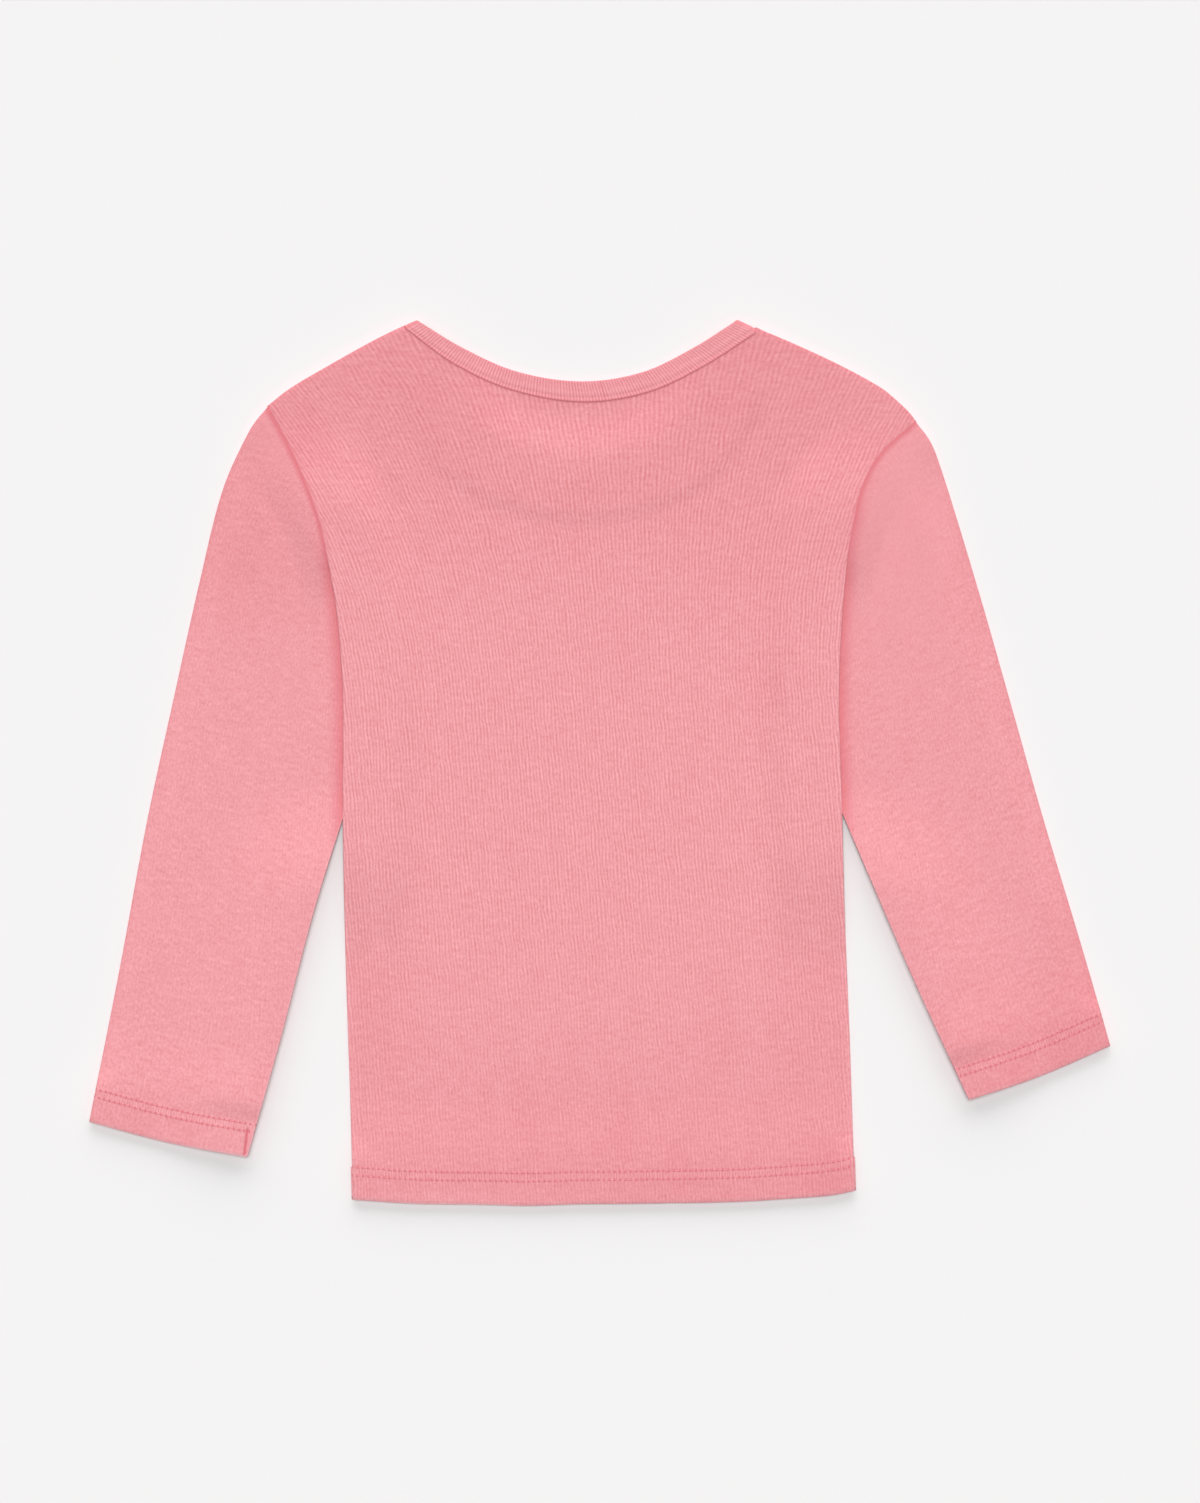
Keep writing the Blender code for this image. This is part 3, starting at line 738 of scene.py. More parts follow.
def make_panel(name, form, material):
    """A body panel: one layer of knit, its hem turned up and its edges rolled to the seam."""
    across = stations(
        (0.0, NECK_LEFT - NECK_CORNER, NECK_LEFT, NECK_RIGHT, NECK_RIGHT + NECK_CORNER, 1.0),
        BODY_COLUMNS)
    hem_list = hem_rows(BODY_ROWS)
    columns = len(across) - 1 + 2 * RIM_STEPS
    rows = len(hem_list) - 1 + BODY_STEPS + RIM_STEPS
    shape = bmesh.new()
    bmesh.ops.create_grid(shape, x_segments=columns, y_segments=rows, size=0.5)
    sheet = form.sheet
    lengths = {share: length_of(sheet, share) for share in across}
    knit, sewing = [], []
    dye_and_light, painted_shade, flatness = add_layers(shape, "dye_and_painted_light", "seam_shade", "flatness")
    for corner, column, row in grid_places(shape, columns, rows):
        inner = min(max(column - RIM_STEPS, 0), len(across) - 1)
        share = across[inner]
        length = lengths[share]
        # Along the panel
        in_neck = NECK_LEFT <= share <= NECK_RIGHT
        distance, turn, end_full = row_place(
            row, rows, hem_list, length, NECK_ROUND if in_neck else SIDE_ROUND)
        along = (distance + hem_wave(share, distance)) / length
        # Across the panel
        side_point = sheet(0.0 if share < 0.5 else 1.0, along)
        width = width_of(sheet, along)
        seam_share = form.seam_share(side_point)
        side_round = (SIDE_ROUND + (SEAM_ROUND - SIDE_ROUND) * seam_share) / width
        place, reach, side_full = rim_place(
            column, columns, share, 0.0, side_round, 1.0, side_round)
        if reach == 1.0:
            # Away from the rims, the corners of the neck keep their own columns
            place = share
            if share < NECK_LEFT:
                place = side_round + (NECK_LEFT - side_round) * share / NECK_LEFT
                place = min(place, NECK_LEFT - NECK_CORNER / 2.0)
            elif share > NECK_RIGHT:
                place = NECK_RIGHT + (1.0 - side_round - NECK_RIGHT) * (
                    (share - NECK_RIGHT) / (1.0 - NECK_RIGHT))
                place = max(place, NECK_RIGHT + NECK_CORNER / 2.0)
        point = sheet(place, along)
        wall = wall_at(distance)
        top = form.face(point, wall)
        depth = (top - form.middle(point, wall)) * form.way
        side_depth = depth + (SEAM_DROP - depth) * seam_share
        end_depth = NECK_DIP if in_neck else depth
        drop = side_depth * (1.0 - side_full) + end_depth * (1.0 - end_full)
        drop -= min(side_depth, end_depth) * (1.0 - side_full) * (1.0 - end_full)
        drop += groove_depth(distance, BODY_ROWS) * side_full * (1.0 - turn)
        fold = (HEM_FOLD * side_full + HEM_FOLD_GAP) * (1.0 - math.cos(math.pi * turn))
        point.z = top - form.way * (drop + fold)
        corner.co = point
        wale = wale_place(point)
        if turn:
            wale.y -= 2.0 * distance
        knit.append(wale)
        sewing.append(Vector((place * hem.length, distance if turn < FACE_TURN else -distance)))
        from_side = min(place, 1.0 - place) * width
        # Paler hem fold and sides: worn, partly painted highlight; shoulders: painted shade
        corner[dye_and_light] = BODY_WASH + tint_depth(point, BODY_TINTS) - painted_rim(distance)
        corner[dye_and_light] -= painted_rim(from_side) * (1.0 - seam_share) * SIDE_WEAR_AND_LIGHT
        if not in_neck:
            corner[dye_and_light] += END_RIM_SHADE * painted_rim(length - distance)
        if form.is_back and point.y > NECK_FOOT:
            # Painted light: the pale table shows a little through the cloth where it lies single
            past = distance_past(front_neck_edge, point)
            corner[dye_and_light] -= TABLE_GLOW * ease((past + MM) / TABLE_GLOW_FADE)
        corner[flatness] = tint_depth(point, BODY_FLATS)
        # Painted shade down in the armhole seam and the neck seam
        at_seam = seam_share * fade(from_side / SEAM_SHADE)
        at_neck = fade((length - distance) / SEAM_SHADE) if in_neck else 0.0
        corner[painted_shade] = max(SEAM_DEPTH * at_seam, NECK_DEPTH * at_neck)
    write_maps(shape, knit, sewing)
    if not form.is_back:
        bmesh.ops.reverse_faces(shape, faces=shape.faces)
    return thicken(add_piece(name, shape, material))


class SleeveForm:
    """The outer face of a sleeve pressed flat: a tube on its solid's form."""

    def __init__(self, sleeve, body_side, creases, deepening, tints, body_shade):
        self.deepening = deepening
        self.body_shade = body_shade
        self.seam_shows = body_side < 0.0
        self.head = smooth_curve(sleeve.armhole)
        self.tucked_head = beside(self.head, body_side * HEAD_OVERLAP)
        self.cuff = smooth_curve(sleeve.cuff)
        self.sheet = stretched_sheet(
            self.head, self.cuff, smooth_curve(sleeve.outer_edge),
            smooth_curve(sleeve.inner_edge), 1.0, 1.0)
        self.creases = creases
        self.tints = tints

    def tucked(self, across, along, from_head):
        """A point of the sleeve, its head drawn in under the edge of the body."""
        overlap = fade(from_head / HEAD_REACH)
        if from_head < 0.0:
            overlap += HEAD_TUCK / HEAD_OVERLAP
        inwards = self.tucked_head(across) - self.head(across)
        return self.sheet(across, max(along, 0.0)) + inwards * overlap

    def bulge(self, across, distance, from_head, point):
        """How far the sleeve stands open at its inner fold, clear of the body.

        Along its outer fold it is pressed thin, but not where it is sewn to the shoulder.
        """
        inner = ease((across - OPEN_FROM) / OPEN_FADE)
        clear = ease((CLEAR_OF_BODY - point.y) / CLEAR_FADE)
        above_hem = ease((distance - HEM_DEPTH) / ABOVE_HEM_FADE)
        below_head = ease((from_head - PRESSED_START) / PRESSED_FADE)
        pressed = THIN * fade(across / PRESSED_SHARE) * above_hem * below_head
        return BULGE * inner * clear * (0.7 + 0.3 * above_hem) - pressed

    def seam_groove(self, place, width, distance):
        """Share of the groove where the underarm seam shows beside the inner fold of the cuff."""
        if not self.seam_shows:
            return 0.0
        aside = abs((1.0 - place) * width - CUFF_SEAM * (0.6 + distance / HEM_DEPTH))
        reach = fade((distance - CUFF_SEAM_TOP) / CUFF_SEAM_FADE)
        return reach * fade(aside / CUFF_SEAM_WIDTH)

    def painted_shade(self, point, from_head):
        """Painted shade of the armhole: at the seam, and beside the body over it."""
        beside_body = max(-from_sides(point), 0.0)
        low = ease((self.body_shade.top - point.y) / self.body_shade.fade)
        return max(
            SEAM_DEPTH * fade((from_head - HEAD_OVERLAP) / SEAM_SHADE),
            BODY_SHADE * low * fade(beside_body / BODY_SHADE_WIDTH))

    def rise(self, across, along):
        """How far the sleeve rises at its head to the armhole seam of the lifted body."""
        from_head = along * length_of(self.sheet, across)
        if from_head > HEAD_RISE:
            return 0.0
        start = self.head(across)
        sewn = ease((start.y - HEAD_SEWN) / HEAD_SEWN_FADE)
        return tuck_lift(start) * sewn * fade(from_head / HEAD_RISE)


def point_outwards(shape):
    """Turn a tube's faces outwards where its placing has turned it inside out."""
    if shape.calc_volume(signed=True) < 0.0:
        bmesh.ops.reverse_faces(shape, faces=shape.faces)


def tube_grid(around, rows):
    """A tube with the turn and row of each of its corners, and with its layers of numbers."""
    shape = bmesh.new()
    layers = add_layers(shape, "dye_and_painted_light", "seam_shade", "smoothness")
    first = bmesh.ops.create_vert(shape, co=(1.0, 0.0, 0.0))["vert"]
    for _ in range(rows):
        first = bmesh.ops.extrude_vert_indiv(shape, verts=first)["verts"]
        bmesh.ops.translate(shape, verts=first, vec=(0.0, 0.0, 1.0))
    bmesh.ops.spin(
        shape, geom=shape.verts[:] + shape.edges[:], cent=(0.0, 0.0, 0.0),
        axis=(0.0, 0.0, 1.0), dvec=(0.0, 0.0, 0.0), angle=math.tau, steps=around,
        use_merge=True, use_duplicate=False)
    shape.verts.index_update()
    places = []
    for corner in shape.verts:
        turn = math.atan2(corner.co.y, corner.co.x) / math.tau
        places.append((corner, round(turn * around) % around, round(corner.co.z)))
    return shape, places, layers


def make_sleeve(name, form, material):
    """A sleeve: a tube of knit pressed flat, its cuff turned in and its head rolled in."""
    across = stations((0.0, LIP_START, 1.0), SLEEVE_COLUMNS)
    columns = len(across) - 1 + 2 * RIM_STEPS
    hem_list = hem_rows(CUFF_ROWS)
    rows = len(hem_list) + SLEEVE_STEPS + RIM_STEPS
    shape, corners, (dye_and_light, painted_shade, smoothness) = tube_grid(2 * columns, rows)
    lengths = {share: length_of(form.sheet, share) for share in across}
    knit, sewing = [], []
    for corner, turn_index, row in corners:
        upper = turn_index <= columns
        column = turn_index if upper else 2 * columns - turn_index
        way = 1.0 if upper else -1.0
        share = across[min(max(column - RIM_STEPS, 0), len(across) - 1)]
        length = lengths[share]
        distance, turn, end_full = row_place(
            min(row, rows - 1), rows - 1, hem_list, length, SEAM_ROUND)
        if row == rows:
            # The seam allowance tucks in under the edge of the body
            distance, end_full = length + HEAD_TUCK, -0.8
        along = 1.0 - distance / length
        width = width_of(form.sheet, along)
        wall = wall_at(distance)
        depth = HEM_FOLD * (1.0 - math.cos(math.pi * turn))
        bulge = form.bulge(share, distance, length - distance, form.sheet(share, along))
        half = wall + (LAYER_GAP + bulge) / 2.0
        margin = depth / width
        outer_round = 0.22 * (half - depth) / width
        # Where the sleeve stands open, its inner fold is a lip and the cloth under it draws in
        inner_round = outer_round
        if bulge > 0.0:
            inner_round = min(outer_round, LIP_ROUND / width) if upper else (
                outer_round + LIP_DRAW * bulge / width)
        fold_height = half + LIP_RISE * max(bulge, 0.0)
        place, reach, full = rim_place(
            column, columns, share, margin, outer_round, 1.0 - margin, inner_round)
        if not upper and column > columns - RIM_STEPS:
            full += (reach - full) * ease(bulge / MM)
        point = form.tucked(place, along, length - distance)
        crease = crease_height(point, form.creases) if upper else 0.0
        drop = groove_depth(distance, CUFF_ROWS) * (1.0 - turn) + SEAM_DROP * (1.0 - end_full)
        seam = form.seam_groove(place, width, distance) * (1.0 - turn) if upper else 0.0
        drop += CUFF_SEAM_DEPTH * seam
        reach_up = 2.0 * half - fold_height if upper else fold_height
        point.z = fold_height + way * (reach_up - depth - drop) * full + crease * full
        point.z += form.rise(place, along)
        corner.co = point
        from_side = min(place, 1.0 - place) * width
        # Paler cuff fold and lip: worn, partly painted highlight; outer fold: painted shade
        corner[dye_and_light] = form.deepening + tint_depth(point, form.tints) - painted_rim(distance)
        corner[dye_and_light] += painted_rim(from_side) * (OUTER_FOLD_SHADE if place < 0.5 else -LIP_WEAR_AND_LIGHT)
        corner[painted_shade] = max(form.painted_shade(point, length - distance), seam)
        corner[smoothness] = tint_depth(point, SLEEVE_FLATS)
        around = place * width if upper else -place * width
        on_face = distance if turn < FACE_TURN else -distance
        knit.append(Vector((around, -on_face)))
        sewing.append(Vector((around, on_face)))
    write_maps(shape, knit, sewing)
    point_outwards(shape)
    return thicken(add_piece(name, shape, material))


def binding_frames():
    """Sections of the binding: over the back, round the right, under the front, round the left."""
    fold_radius = BINDING_THICKNESS + LAYER_GAP / 2.0
    up = Vector((0.0, 0.0, 1.0))
    frames = []

    def add_frame(seam, edge, seam_out, edge_out):
        travelled = 0.0
        if frames:
            last = frames[-1]
            travelled = last.travelled + ((seam + edge) / 2 - (last.seam + last.edge) / 2).length
        frames.append(Frame(seam, edge, seam_out, edge_out, travelled))

    def add_fold(share, sideways, turns):
        seam_side, edge_side = (Vector((*place, 0.0)) * MM / fold_radius for place in sideways)
        for turn in turns:
            seam_out = seam_side * math.sin(turn) + up * math.cos(turn)
            edge_out = edge_side * math.sin(turn) + up * math.cos(turn)
            add_frame(
                back_neck_seam(share) + up * fold_radius + seam_out * (LAYER_GAP / 2.0),
                back_neck_edge(share) + up * fold_radius + edge_out * (LAYER_GAP / 2.0),
                seam_out, edge_out)

    turns = [math.pi * step / FOLD_TURNS for step in range(1, FOLD_TURNS)]
    join = JOIN_PLACE - JOIN_REACH
    for share in stations((0.0, join, join + 2.0 * JOIN_REACH, 1.0), JOIN_STEPS):
        seam, edge = back_neck_seam(share), back_neck_edge(share)
        seam.z = back_under(seam, WALL)
        edge.z = back_under(edge, WALL)
        add_frame(seam, edge, up, up)
    add_fold(1.0, RIGHT_FOLD, turns)
    for share in stations((1.0, 0.0), (FRONT_NECK_STEPS,)):
        seam, edge = front_neck_seam(share), front_neck_edge(share)
        seam.z = edge.z = BINDING_THICKNESS
        add_frame(seam, edge, -up, -up)
    add_fold(0.0, LEFT_FOLD, reversed(turns))
    return frames


def binding_point(frame, across, height):
    """A point of the binding: share of its width from the seam, share of its thickness."""
    outward = frame.seam_out.lerp(frame.edge_out, across)
    return frame.seam.lerp(frame.edge, across) + outward * (BINDING_THICKNESS * height)


def binding_face(across):
    """Share of the thickness that the face of the binding reaches, sunk at the stitch row."""
    return BINDING_FACE - BINDING_GROOVE * fade(
        abs(across - BINDING_ROW) / BINDING_GROOVE_WIDTH)


def make_binding(name, frames, material):
    """Neck binding: a folded strip of knit, one loop with its face out."""
    columns = BINDING_COLUMNS + 2 * RIM_STEPS
    shape, corners, (dye_and_light, painted_shade, _) = tube_grid(2 * columns, len(frames))
    join = frames[JOIN_FRAME].travelled
    knit, sewing = [], []
    for corner, turn_index, row in corners:
        frame = frames[row % len(frames)]
        outer = turn_index <= columns
        column = turn_index if outer else 2 * columns - turn_index
        width = (frame.edge - frame.seam).length
        side_round = 0.3 * BINDING_THICKNESS / width
        share = (column - RIM_STEPS) / BINDING_COLUMNS
        place, _, full = rim_place(
            column, columns, share, 0.0, side_round * 0.8, 1.0, side_round)
        if column < RIM_STEPS:
            # The seam side stays high, where the panel is sewn against it
            full = 0.7 + 0.3 * full
        face = binding_face(place)
        height = 0.5 + (face - 0.5) * full if outer else 0.5 - 0.5 * full
        corner.co = binding_point(frame, place, height)
        travelled = frame.travelled if row < len(frames) else 0.0
        off_seam = place * width if outer else -place * width
        # Painted highlight along the ridge of the fold, painted shade along the free edge and the
        # seam
        corner[dye_and_light] = BINDING_WASH + BINDING_RIDGE.rise * fade(
            abs(place - BINDING_RIDGE.place) / BINDING_RIDGE.reach)
        corner[dye_and_light] += END_RIM_SHADE * painted_rim((1.0 - place) * width)
        corner[painted_shade] = NECK_DEPTH * fade(place * width / SEAM_SHADE)
        if abs(travelled - join) < JOIN_WIDTH and outer:
            near = 1.0 - abs(travelled - join) / JOIN_WIDTH
            corner[painted_shade] = max(corner[painted_shade], JOIN_SHADE * near)
        knit.append(Vector((travelled, off_seam)))
        sewing.append(Vector((travelled, off_seam)))
    write_maps(shape, knit, sewing)
    bmesh.ops.remove_doubles(shape, verts=shape.verts, dist=0.001 * MM)
    point_outwards(shape)
    return add_piece(name, shape, material)


def add_stitch(shape, start, end, up):
    """One straight stitch of thread from needle hole to needle hole, sunk in the knit."""
    run = end - start
    ahead = run.normalized()
    aside = up.cross(ahead).normalized()
    turned = Matrix((ahead, aside, ahead.cross(aside))).transposed().to_4x4()
    size = Matrix.Diagonal((run.length / 2.0, THREAD, THREAD, 1.0))
    bmesh.ops.create_uvsphere(
        shape, u_segments=6, v_segments=5, radius=1.0,
        matrix=Matrix.Translation((start + end) / 2.0) @ turned @ size @ Matrix.Rotation(
            math.pi / 2.0, 4, "Y"))


def stitch_line(shape, points, ups, pitch=STITCH, cover=0.78):
    """A row of straight stitches along points, with a needle hole after each."""
    length, find = run_of(points)
    for step in range(int(length / pitch)):
        ends = []
        for offset in (0.5 - cover / 2.0, 0.5 + cover / 2.0):
            index, part = find((step + offset) * pitch)
            ends.append(points[index].lerp(points[index + 1], part))
        add_stitch(shape, *ends, ups[index])


def panel_stitches(name, form, material):
    """The two rows of the hem on one panel."""
    shape = bmesh.new()
    for row in BODY_ROWS:
        points = []
        for share in stations(BODY_ROW_ENDS, (BODY_ROW_STEPS,)):
            length = length_of(form.sheet, share)
            point = form.sheet(share, (row + hem_wave(share, row)) / length)
            point.z = form.face(point, wall_at(row)) - form.way * (GROOVE - THREAD_RISE)
            points.append(point)
        stitch_line(shape, points, [Vector((0.0, 0.0, form.way))] * len(points))
    return add_piece(name, shape, material)


def sleeve_stitches(name, form, material):
    """The two rows of the cuff, over the top and under the bottom of the sleeve."""
    shape = bmesh.new()
    for row in CUFF_ROWS:
        wall = wall_at(row)
        for way in (1.0, -1.0):
            points = []
            for share in stations(CUFF_ROW_ENDS, (CUFF_ROW_STEPS,)):
                length = length_of(form.sheet, share)
                point = form.sheet(share, 1.0 - row / length)
                half = wall + (LAYER_GAP + form.bulge(share, row, length - row, point)) / 2.0
                crease = crease_height(point, form.creases) if way > 0.0 else 0.0
                point.z = half + way * (half - GROOVE + THREAD_RISE) + crease
                points.append(point)
            stitch_line(shape, points, [Vector((0.0, 0.0, way))] * len(points))
    return add_piece(name, shape, material)


def binding_stitches(name, frames, material):
    """The row that holds the binding, all round the neck."""
    shape = bmesh.new()
    height = binding_face(BINDING_ROW) - 0.3 * THREAD / BINDING_THICKNESS
    places = [binding_point(frame, BINDING_ROW, height) for frame in frames + frames[:1]]
    ups = [frame.seam_out for frame in frames + frames[:1]]
    stitch_line(shape, places, ups, BINDING_STITCH, 0.76)
    return add_piece(name, shape, material)


def linear(colour):
    """Linear colour of an sRGB hex value."""
    channels = [int(colour[index:index + 2], 16) / 255.0 for index in (0, 2, 4)]
    return tuple(
        channel / 12.92 if channel <= 0.04045 else ((channel + 0.055) / 1.055) ** 2.4
        for channel in channels) + (1.0,)


def give(node, inputs):
    """Give inputs of a node, in order or by name, their values or links."""
    for key, value in inputs.items() if isinstance(inputs, dict) else enumerate(inputs):
        if isinstance(value, bpy.types.NodeSocket):
            node.id_data.links.new(value, node.inputs[key])
        else:
            node.inputs[key].default_value = value


def add_node(tree, kind, inputs=(), output=0, **settings):
    """Add a shader node with its inputs and settings, and return one of its outputs."""
    node = tree.nodes.new("ShaderNode" + kind)
    for name, value in settings.items():
        setattr(node, name, value)
    give(node, inputs)
    return node.outputs[output]


def new_material(name):
    """A new material, with the way to add nodes to it and its shader."""
    material = bpy.data.materials.new(name)
    material.use_nodes = True
    tree = material.node_tree
    return material, partial(add_node, tree), tree.nodes["Principled BSDF"]


def stitch_ticks(node, rows, sewing, tone):
    """Add the short ticks in which the cloth between two stitch rows stands up."""
    half_band = (max(rows) - min(rows)) / 2.0
    off_middle = node(
        "Math", (node("Math", (sewing["Y"], sum(rows) / 2.0), operation="SUBTRACT"),),
        operation="ABSOLUTE")
    between = node(
        "MapRange", (off_middle, half_band - 0.3 * MM, half_band - 1.1 * MM, 0.0, 1.0),
        interpolation_type="SMOOTHSTEP")
    wave = node("Math", (
        node("Math", (sewing["X"], math.tau / (STITCH / 2.0)), operation="MULTIPLY"),),
        operation="SINE")
    ticks = node("Math", (wave, 0.55, 0.05), operation="MULTIPLY_ADD")
    return node("Math", (ticks, between, tone), operation="MULTIPLY_ADD")


def needle_dimples(node, rows, sewing, colour):
    """Paint shade into the small dimple that the needle leaves at each end of a stitch."""
    hole = node("Math", (
        node("Math", (sewing["X"], STITCH / 2.0), operation="PINGPONG"), DIMPLE_LENGTH),
        operation="DIVIDE")
    dimples = None
    for row in rows:
        off_row = node("Math", (
            node("Math", (sewing["Y"], -row), operation="ADD"), DIMPLE_WIDTH),
            operation="DIVIDE")
        reach = node("VectorMath", (node("CombineXYZ", (hole, off_row)),), "Value",
                     operation="LENGTH")
        near = node("MapRange", (reach, 0.4, 1.2, 1.0, 0.0), interpolation_type="SMOOTHSTEP")
        dimples = near if dimples is None else node("Math", (dimples, near), operation="MAXIMUM")
    return node("Mix", {
        "Factor": node("Math", (dimples, 0.66), operation="MULTIPLY"),
        6: colour, 7: linear(DIMPLE_PINK)}, 2, data_type="RGBA")


def rib_knit(name, knit):
    """Cotton rib jersey, knitted, dyed and washed: matt, with fine wales that come and go.

    The corners of the cloth say how deep its colour is, from dye and from painted shade and light
    (below 0 on a worn rim, partly a painted highlight), how deep the painted shade of a seam is on
    them, how flat its ribs are pressed and how smooth its fuzz is.
    """
    material, node, shader = new_material(name)
    place = node("UVMap", uv_map="knit")
    across = node("SeparateXYZ", (place,), "X")
    flatness, smoothness, dye_and_light, seam_shade = (
        node("Attribute", (), "Fac", attribute_name=attribute)
        for attribute in ("flatness", "smoothness", "dye_and_painted_light", "seam_shade"))

    def noise(scale, shift, **inputs):
        stretched = node("Mapping", {
            "Vector": place, "Scale": (*scale, 1.0), "Location": (*shift, 0.0)})
        return node("TexNoise", {"Vector": stretched, "Scale": 1.0, **inputs}, "Fac")

    tone = None
    # Two sets of wales: the ribs of the knit, and the coarser beat of its uneven yarn
    for share, wale, shift in (
            (knit.ribs, knit.wale, 0.0), (knit.yarn_ribs, knit.wale * 1.5, 5.0)):
        drift = node("Math", (
            noise((130.0, 90.0), (shift, shift), Detail=1.0), knit.wander),
            operation="MULTIPLY")
        wave = node("Math", (
            node("Math", (across, math.tau / (wale * MM), drift), operation="MULTIPLY_ADD"),),
            operation="SINE")
        presence = node("MapRange", (
            noise((190.0, 260.0), (shift + 3.0, 7.0), Detail=1.0), 0.3, 0.7, 0.3, 1.0))
        ribs = node("Math", (
            node("Math", (wave, presence), operation="MULTIPLY"),
            node("Math", (flatness, -share, share), operation="MULTIPLY_ADD")),
            operation="MULTIPLY")
        tone = ribs if tone is None else node("Math", (tone, ribs), operation="ADD")
    # Soft bars along the courses, and the grain of the fuzz
    for share, scale in ((knit.courses, (150.0, 460.0)), (knit.grain, (900.0, 700.0))):
        bars = node("MapRange", (
            noise(scale, (1.0, 2.0), Detail=2.0, Roughness=0.55), 0.3, 0.7, -share, share),
            clamp=False)
        tone = node("Math", (tone, bars), operation="ADD")
    sewing = node("SeparateXYZ", (node("UVMap", uv_map="sewing"),)).node.outputs
    if knit.rows:
        tone = stitch_ticks(node, knit.rows, sewing, tone)
    strength = node("Math", (smoothness, -0.5, 0.5), operation="MULTIPLY_ADD")
    # Light wales and the dark between them: the dark is partly painted shade in the grooves of the
    # ribs
    colour = node("Mix", {
        "Factor": node("Math", (tone, strength, 0.5), operation="MULTIPLY_ADD"),
        6: linear(DARK_PINK), 7: linear(LIGHT_PINK)}, 2, data_type="RGBA")
    # The colour is deeper in some places than in others, from dye and from painted shade and light
    # on the corners; down in a seam it is deepest, in painted shade
    patches = node("TexNoise", {
        "Vector": place, "Scale": 70.0, "Detail": 3.0, "Roughness": 0.6}, "Fac")
    mottle = node("MapRange", (patches, 0.2, 0.8, -0.14, 0.14))
    depth = node("Math", (dye_and_light, mottle), operation="ADD")
    deepening = node("Mix", {
        "Factor": depth, 6: linear("FFFFFF"), 7: linear(DEEP_DYE_AND_SHADE)}, 2, data_type="RGBA")
    colour = node("Mix", {
        "Factor": 1.0, 6: colour, 7: deepening}, 2, data_type="RGBA", blend_type="MULTIPLY")
    colour = node("Mix", {
        "Factor": seam_shade, 6: colour, 7: linear(SEAM_PINK)}, 2, data_type="RGBA")
    # A pale rim: worn, and partly a painted highlight
    worn_and_lit = node("MapRange", (depth, -0.15, -0.8, 0.0, 0.8))
    colour = node("Mix", {"Factor": worn_and_lit, 6: colour, 7: linear(WORN_AND_LIT_PINK)}, 2, data_type="RGBA")
    if knit.rows:
        colour = needle_dimples(node, knit.rows, sewing, colour)
    give(shader, {
        "Base Color": colour, "Roughness": 0.92, "IOR": 1.5, "Specular IOR Level": 0.2,
        "Sheen Weight": 0.15, "Sheen Roughness": 0.5, "Sheen Tint": linear("FFD8DA"),
        "Normal": node("Bump", {"Height": tone, "Strength": 0.05, "Distance": 0.1 * MM})})
    return material


def sewing_thread(name, colour):
    """Spun polyester thread, dyed to match: matt with a fine twist."""
    material, node, shader = new_material(name)
    twist = node("TexNoise", {
        "Vector": node("TexCoord", (), "Object"), "Scale": 2500.0, "Detail": 2.0}, "Fac")
    shades = node("Mix", {
        "Factor": twist, 6: linear(DIMPLE_PINK), 7: linear(colour)}, 2, data_type="RGBA")
    give(shader, {"Base Color": shades, "Roughness": 0.7, "Specular IOR Level": 0.3})
    return material


def make_floor():
    """Plain pale studio floor."""
    shape = bmesh.new()
    bmesh.ops.create_grid(shape, x_segments=1, y_segments=1, size=3.0)
    bmesh.ops.translate(shape, verts=shape.verts, vec=(0.0, 0.0, -0.2 * MM))
    material, _, shader = new_material("pale_floor")
    give(shader, {
        "Base Color": linear("EDECEC"), "Roughness": 1.0, "Specular IOR Level": 0.0})
    floor = add_piece("floor", shape, material)


def make_light():
    """Soft studio light: one lamp overhead, two low ones from beyond the neck, an even fill."""
    scene = bpy.context.scene
    world = bpy.data.worlds.new("studio")
    world.use_nodes = True
    give(world.node_tree.nodes["Background"], (linear("FFFFFF"), 0.165))
    scene.world = world
    for lamp in LAMPS:
        light = bpy.data.lights.new(lamp.name, "SUN")
        light.energy = lamp.energy
        light.color = linear(lamp.colour)[:3]
        light.angle = lamp.spread
        holder = bpy.data.objects.new(lamp.name, light)
        holder.rotation_euler = (math.radians(-lamp.tilt), 0.0, math.radians(lamp.turn))
        scene.collection.objects.link(holder)
    scene.view_settings.view_transform = "Standard"


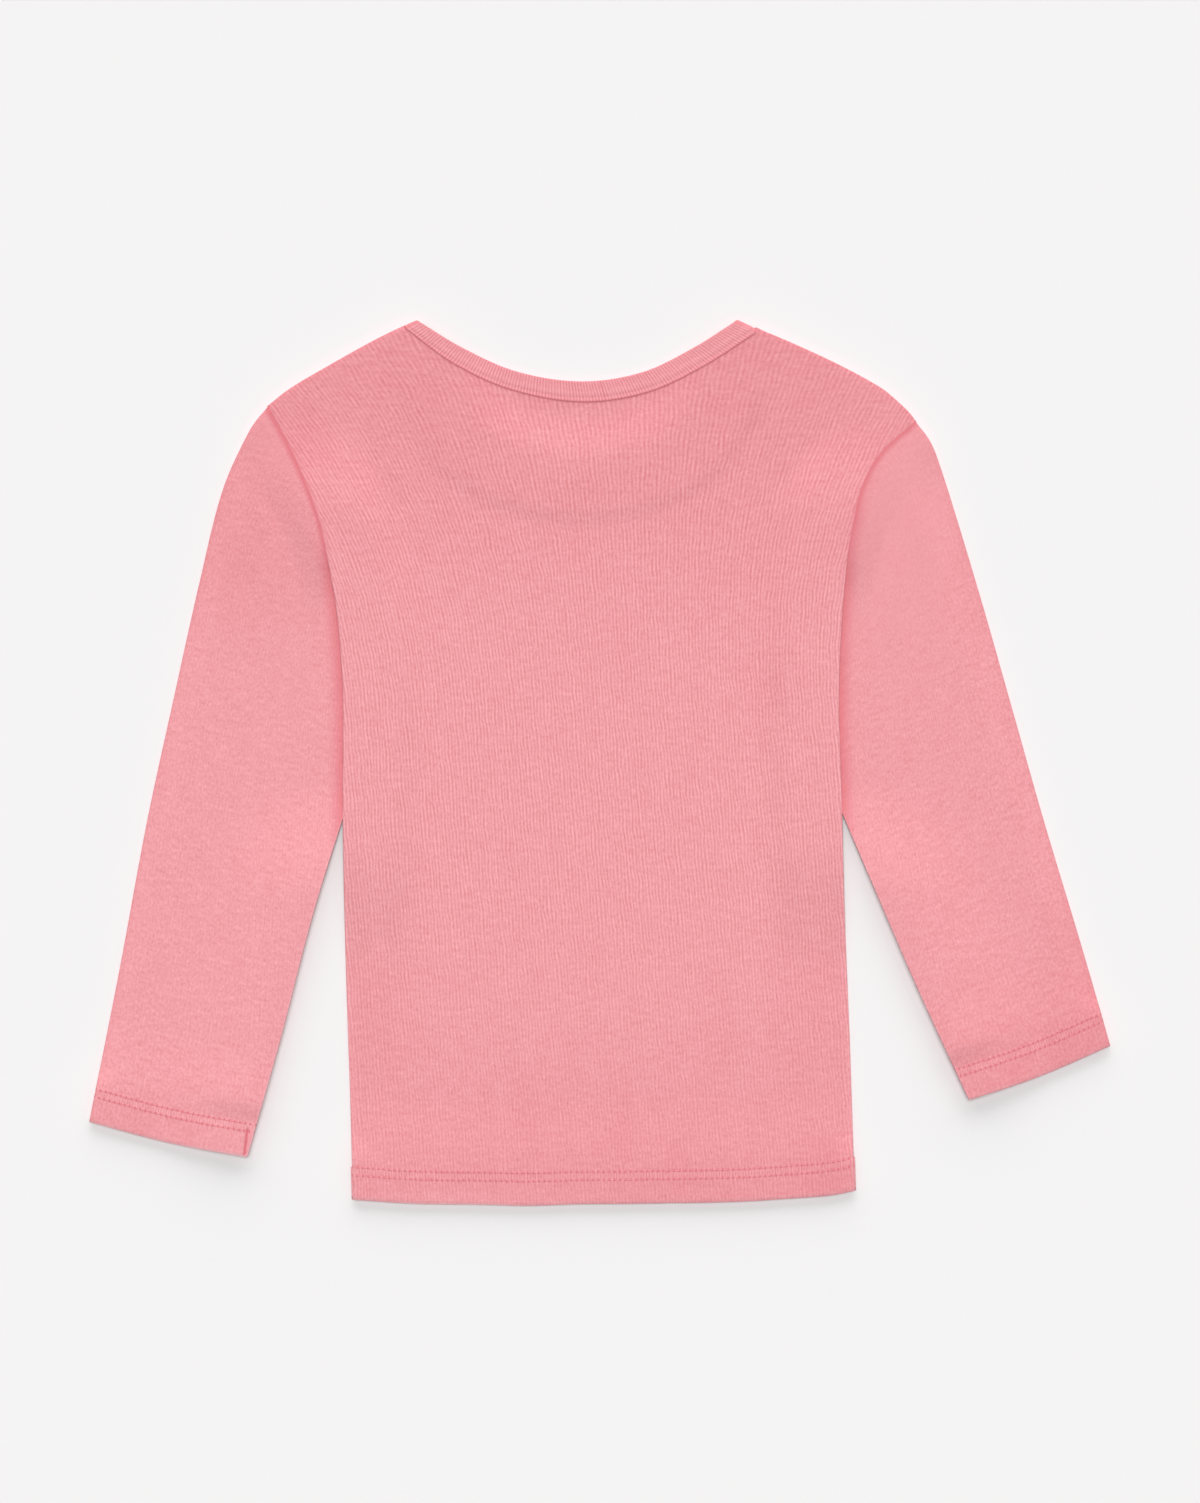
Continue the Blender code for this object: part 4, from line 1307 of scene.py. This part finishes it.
def make_camera():
    """Long lens looking straight down."""
    camera = bpy.data.cameras.new("camera")
    camera.lens = LENS
    camera.sensor_width = SENSOR
    eye = bpy.data.objects.new("camera", camera)
    eye.location = (0.0, VIEW_MIDDLE, VIEW_SPAN * LENS / SENSOR + VIEW_TOP)
    bpy.context.scene.collection.objects.link(eye)
    bpy.context.scene.camera = eye


def main():
    """Lay the cloth on its solids, sew it, and set up the floor, the light and the camera."""
    body = rib_knit("rib_jersey_body", BODY_KNIT)
    sleeve_cloth = rib_knit("rib_jersey_sleeve", SLEEVE_KNIT)
    band = rib_knit("rib_jersey_binding", BINDING_KNIT)
    thread = sewing_thread("polyester_thread", THREAD_PINK)

    back_form = PanelForm(back_neck_seam, True, BACK_CREASES)
    front_form = PanelForm(front_neck_seam, False, FRONT_CREASES)
    left_form = SleeveForm(
        LEFT_SLEEVE, -1.0, LEFT_SLEEVE_CREASES, LEFT_SLEEVE_WASH, LEFT_SLEEVE_TINTS, LEFT_SHADE)
    right_form = SleeveForm(
        RIGHT_SLEEVE, 1.0, RIGHT_SLEEVE_CREASES, RIGHT_SLEEVE_WASH, RIGHT_SLEEVE_TINTS,
        RIGHT_SHADE)
    frames = binding_frames()

    back = make_panel("back_cloth", back_form, body)
    front = make_panel("front_cloth", front_form, body)
    left = make_sleeve("left_sleeve_cloth", left_form, sleeve_cloth)
    right = make_sleeve("right_sleeve_cloth", right_form, sleeve_cloth)
    binding = make_binding("neck_binding_cloth", frames, band)
    back_sewing = panel_stitches("back_hem_stitches", back_form, thread)
    front_sewing = panel_stitches("front_hem_stitches", front_form, thread)
    left_sewing = sleeve_stitches("left_cuff_stitches", left_form, thread)
    right_sewing = sleeve_stitches("right_cuff_stitches", right_form, thread)
    neck_sewing = binding_stitches("neck_stitches", frames, thread)

    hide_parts("back_panel")
    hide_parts("front_panel")
    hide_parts("sleeve_left")
    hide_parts("sleeve_right")
    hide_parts("neck_binding")
    for piece in (back, front, left, right, back_sewing, front_sewing, left_sewing, right_sewing):
        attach(piece, "root")
    for piece in (binding, neck_sewing):
        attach(piece, "root")

    make_floor()
    make_light()
    make_camera()


main()
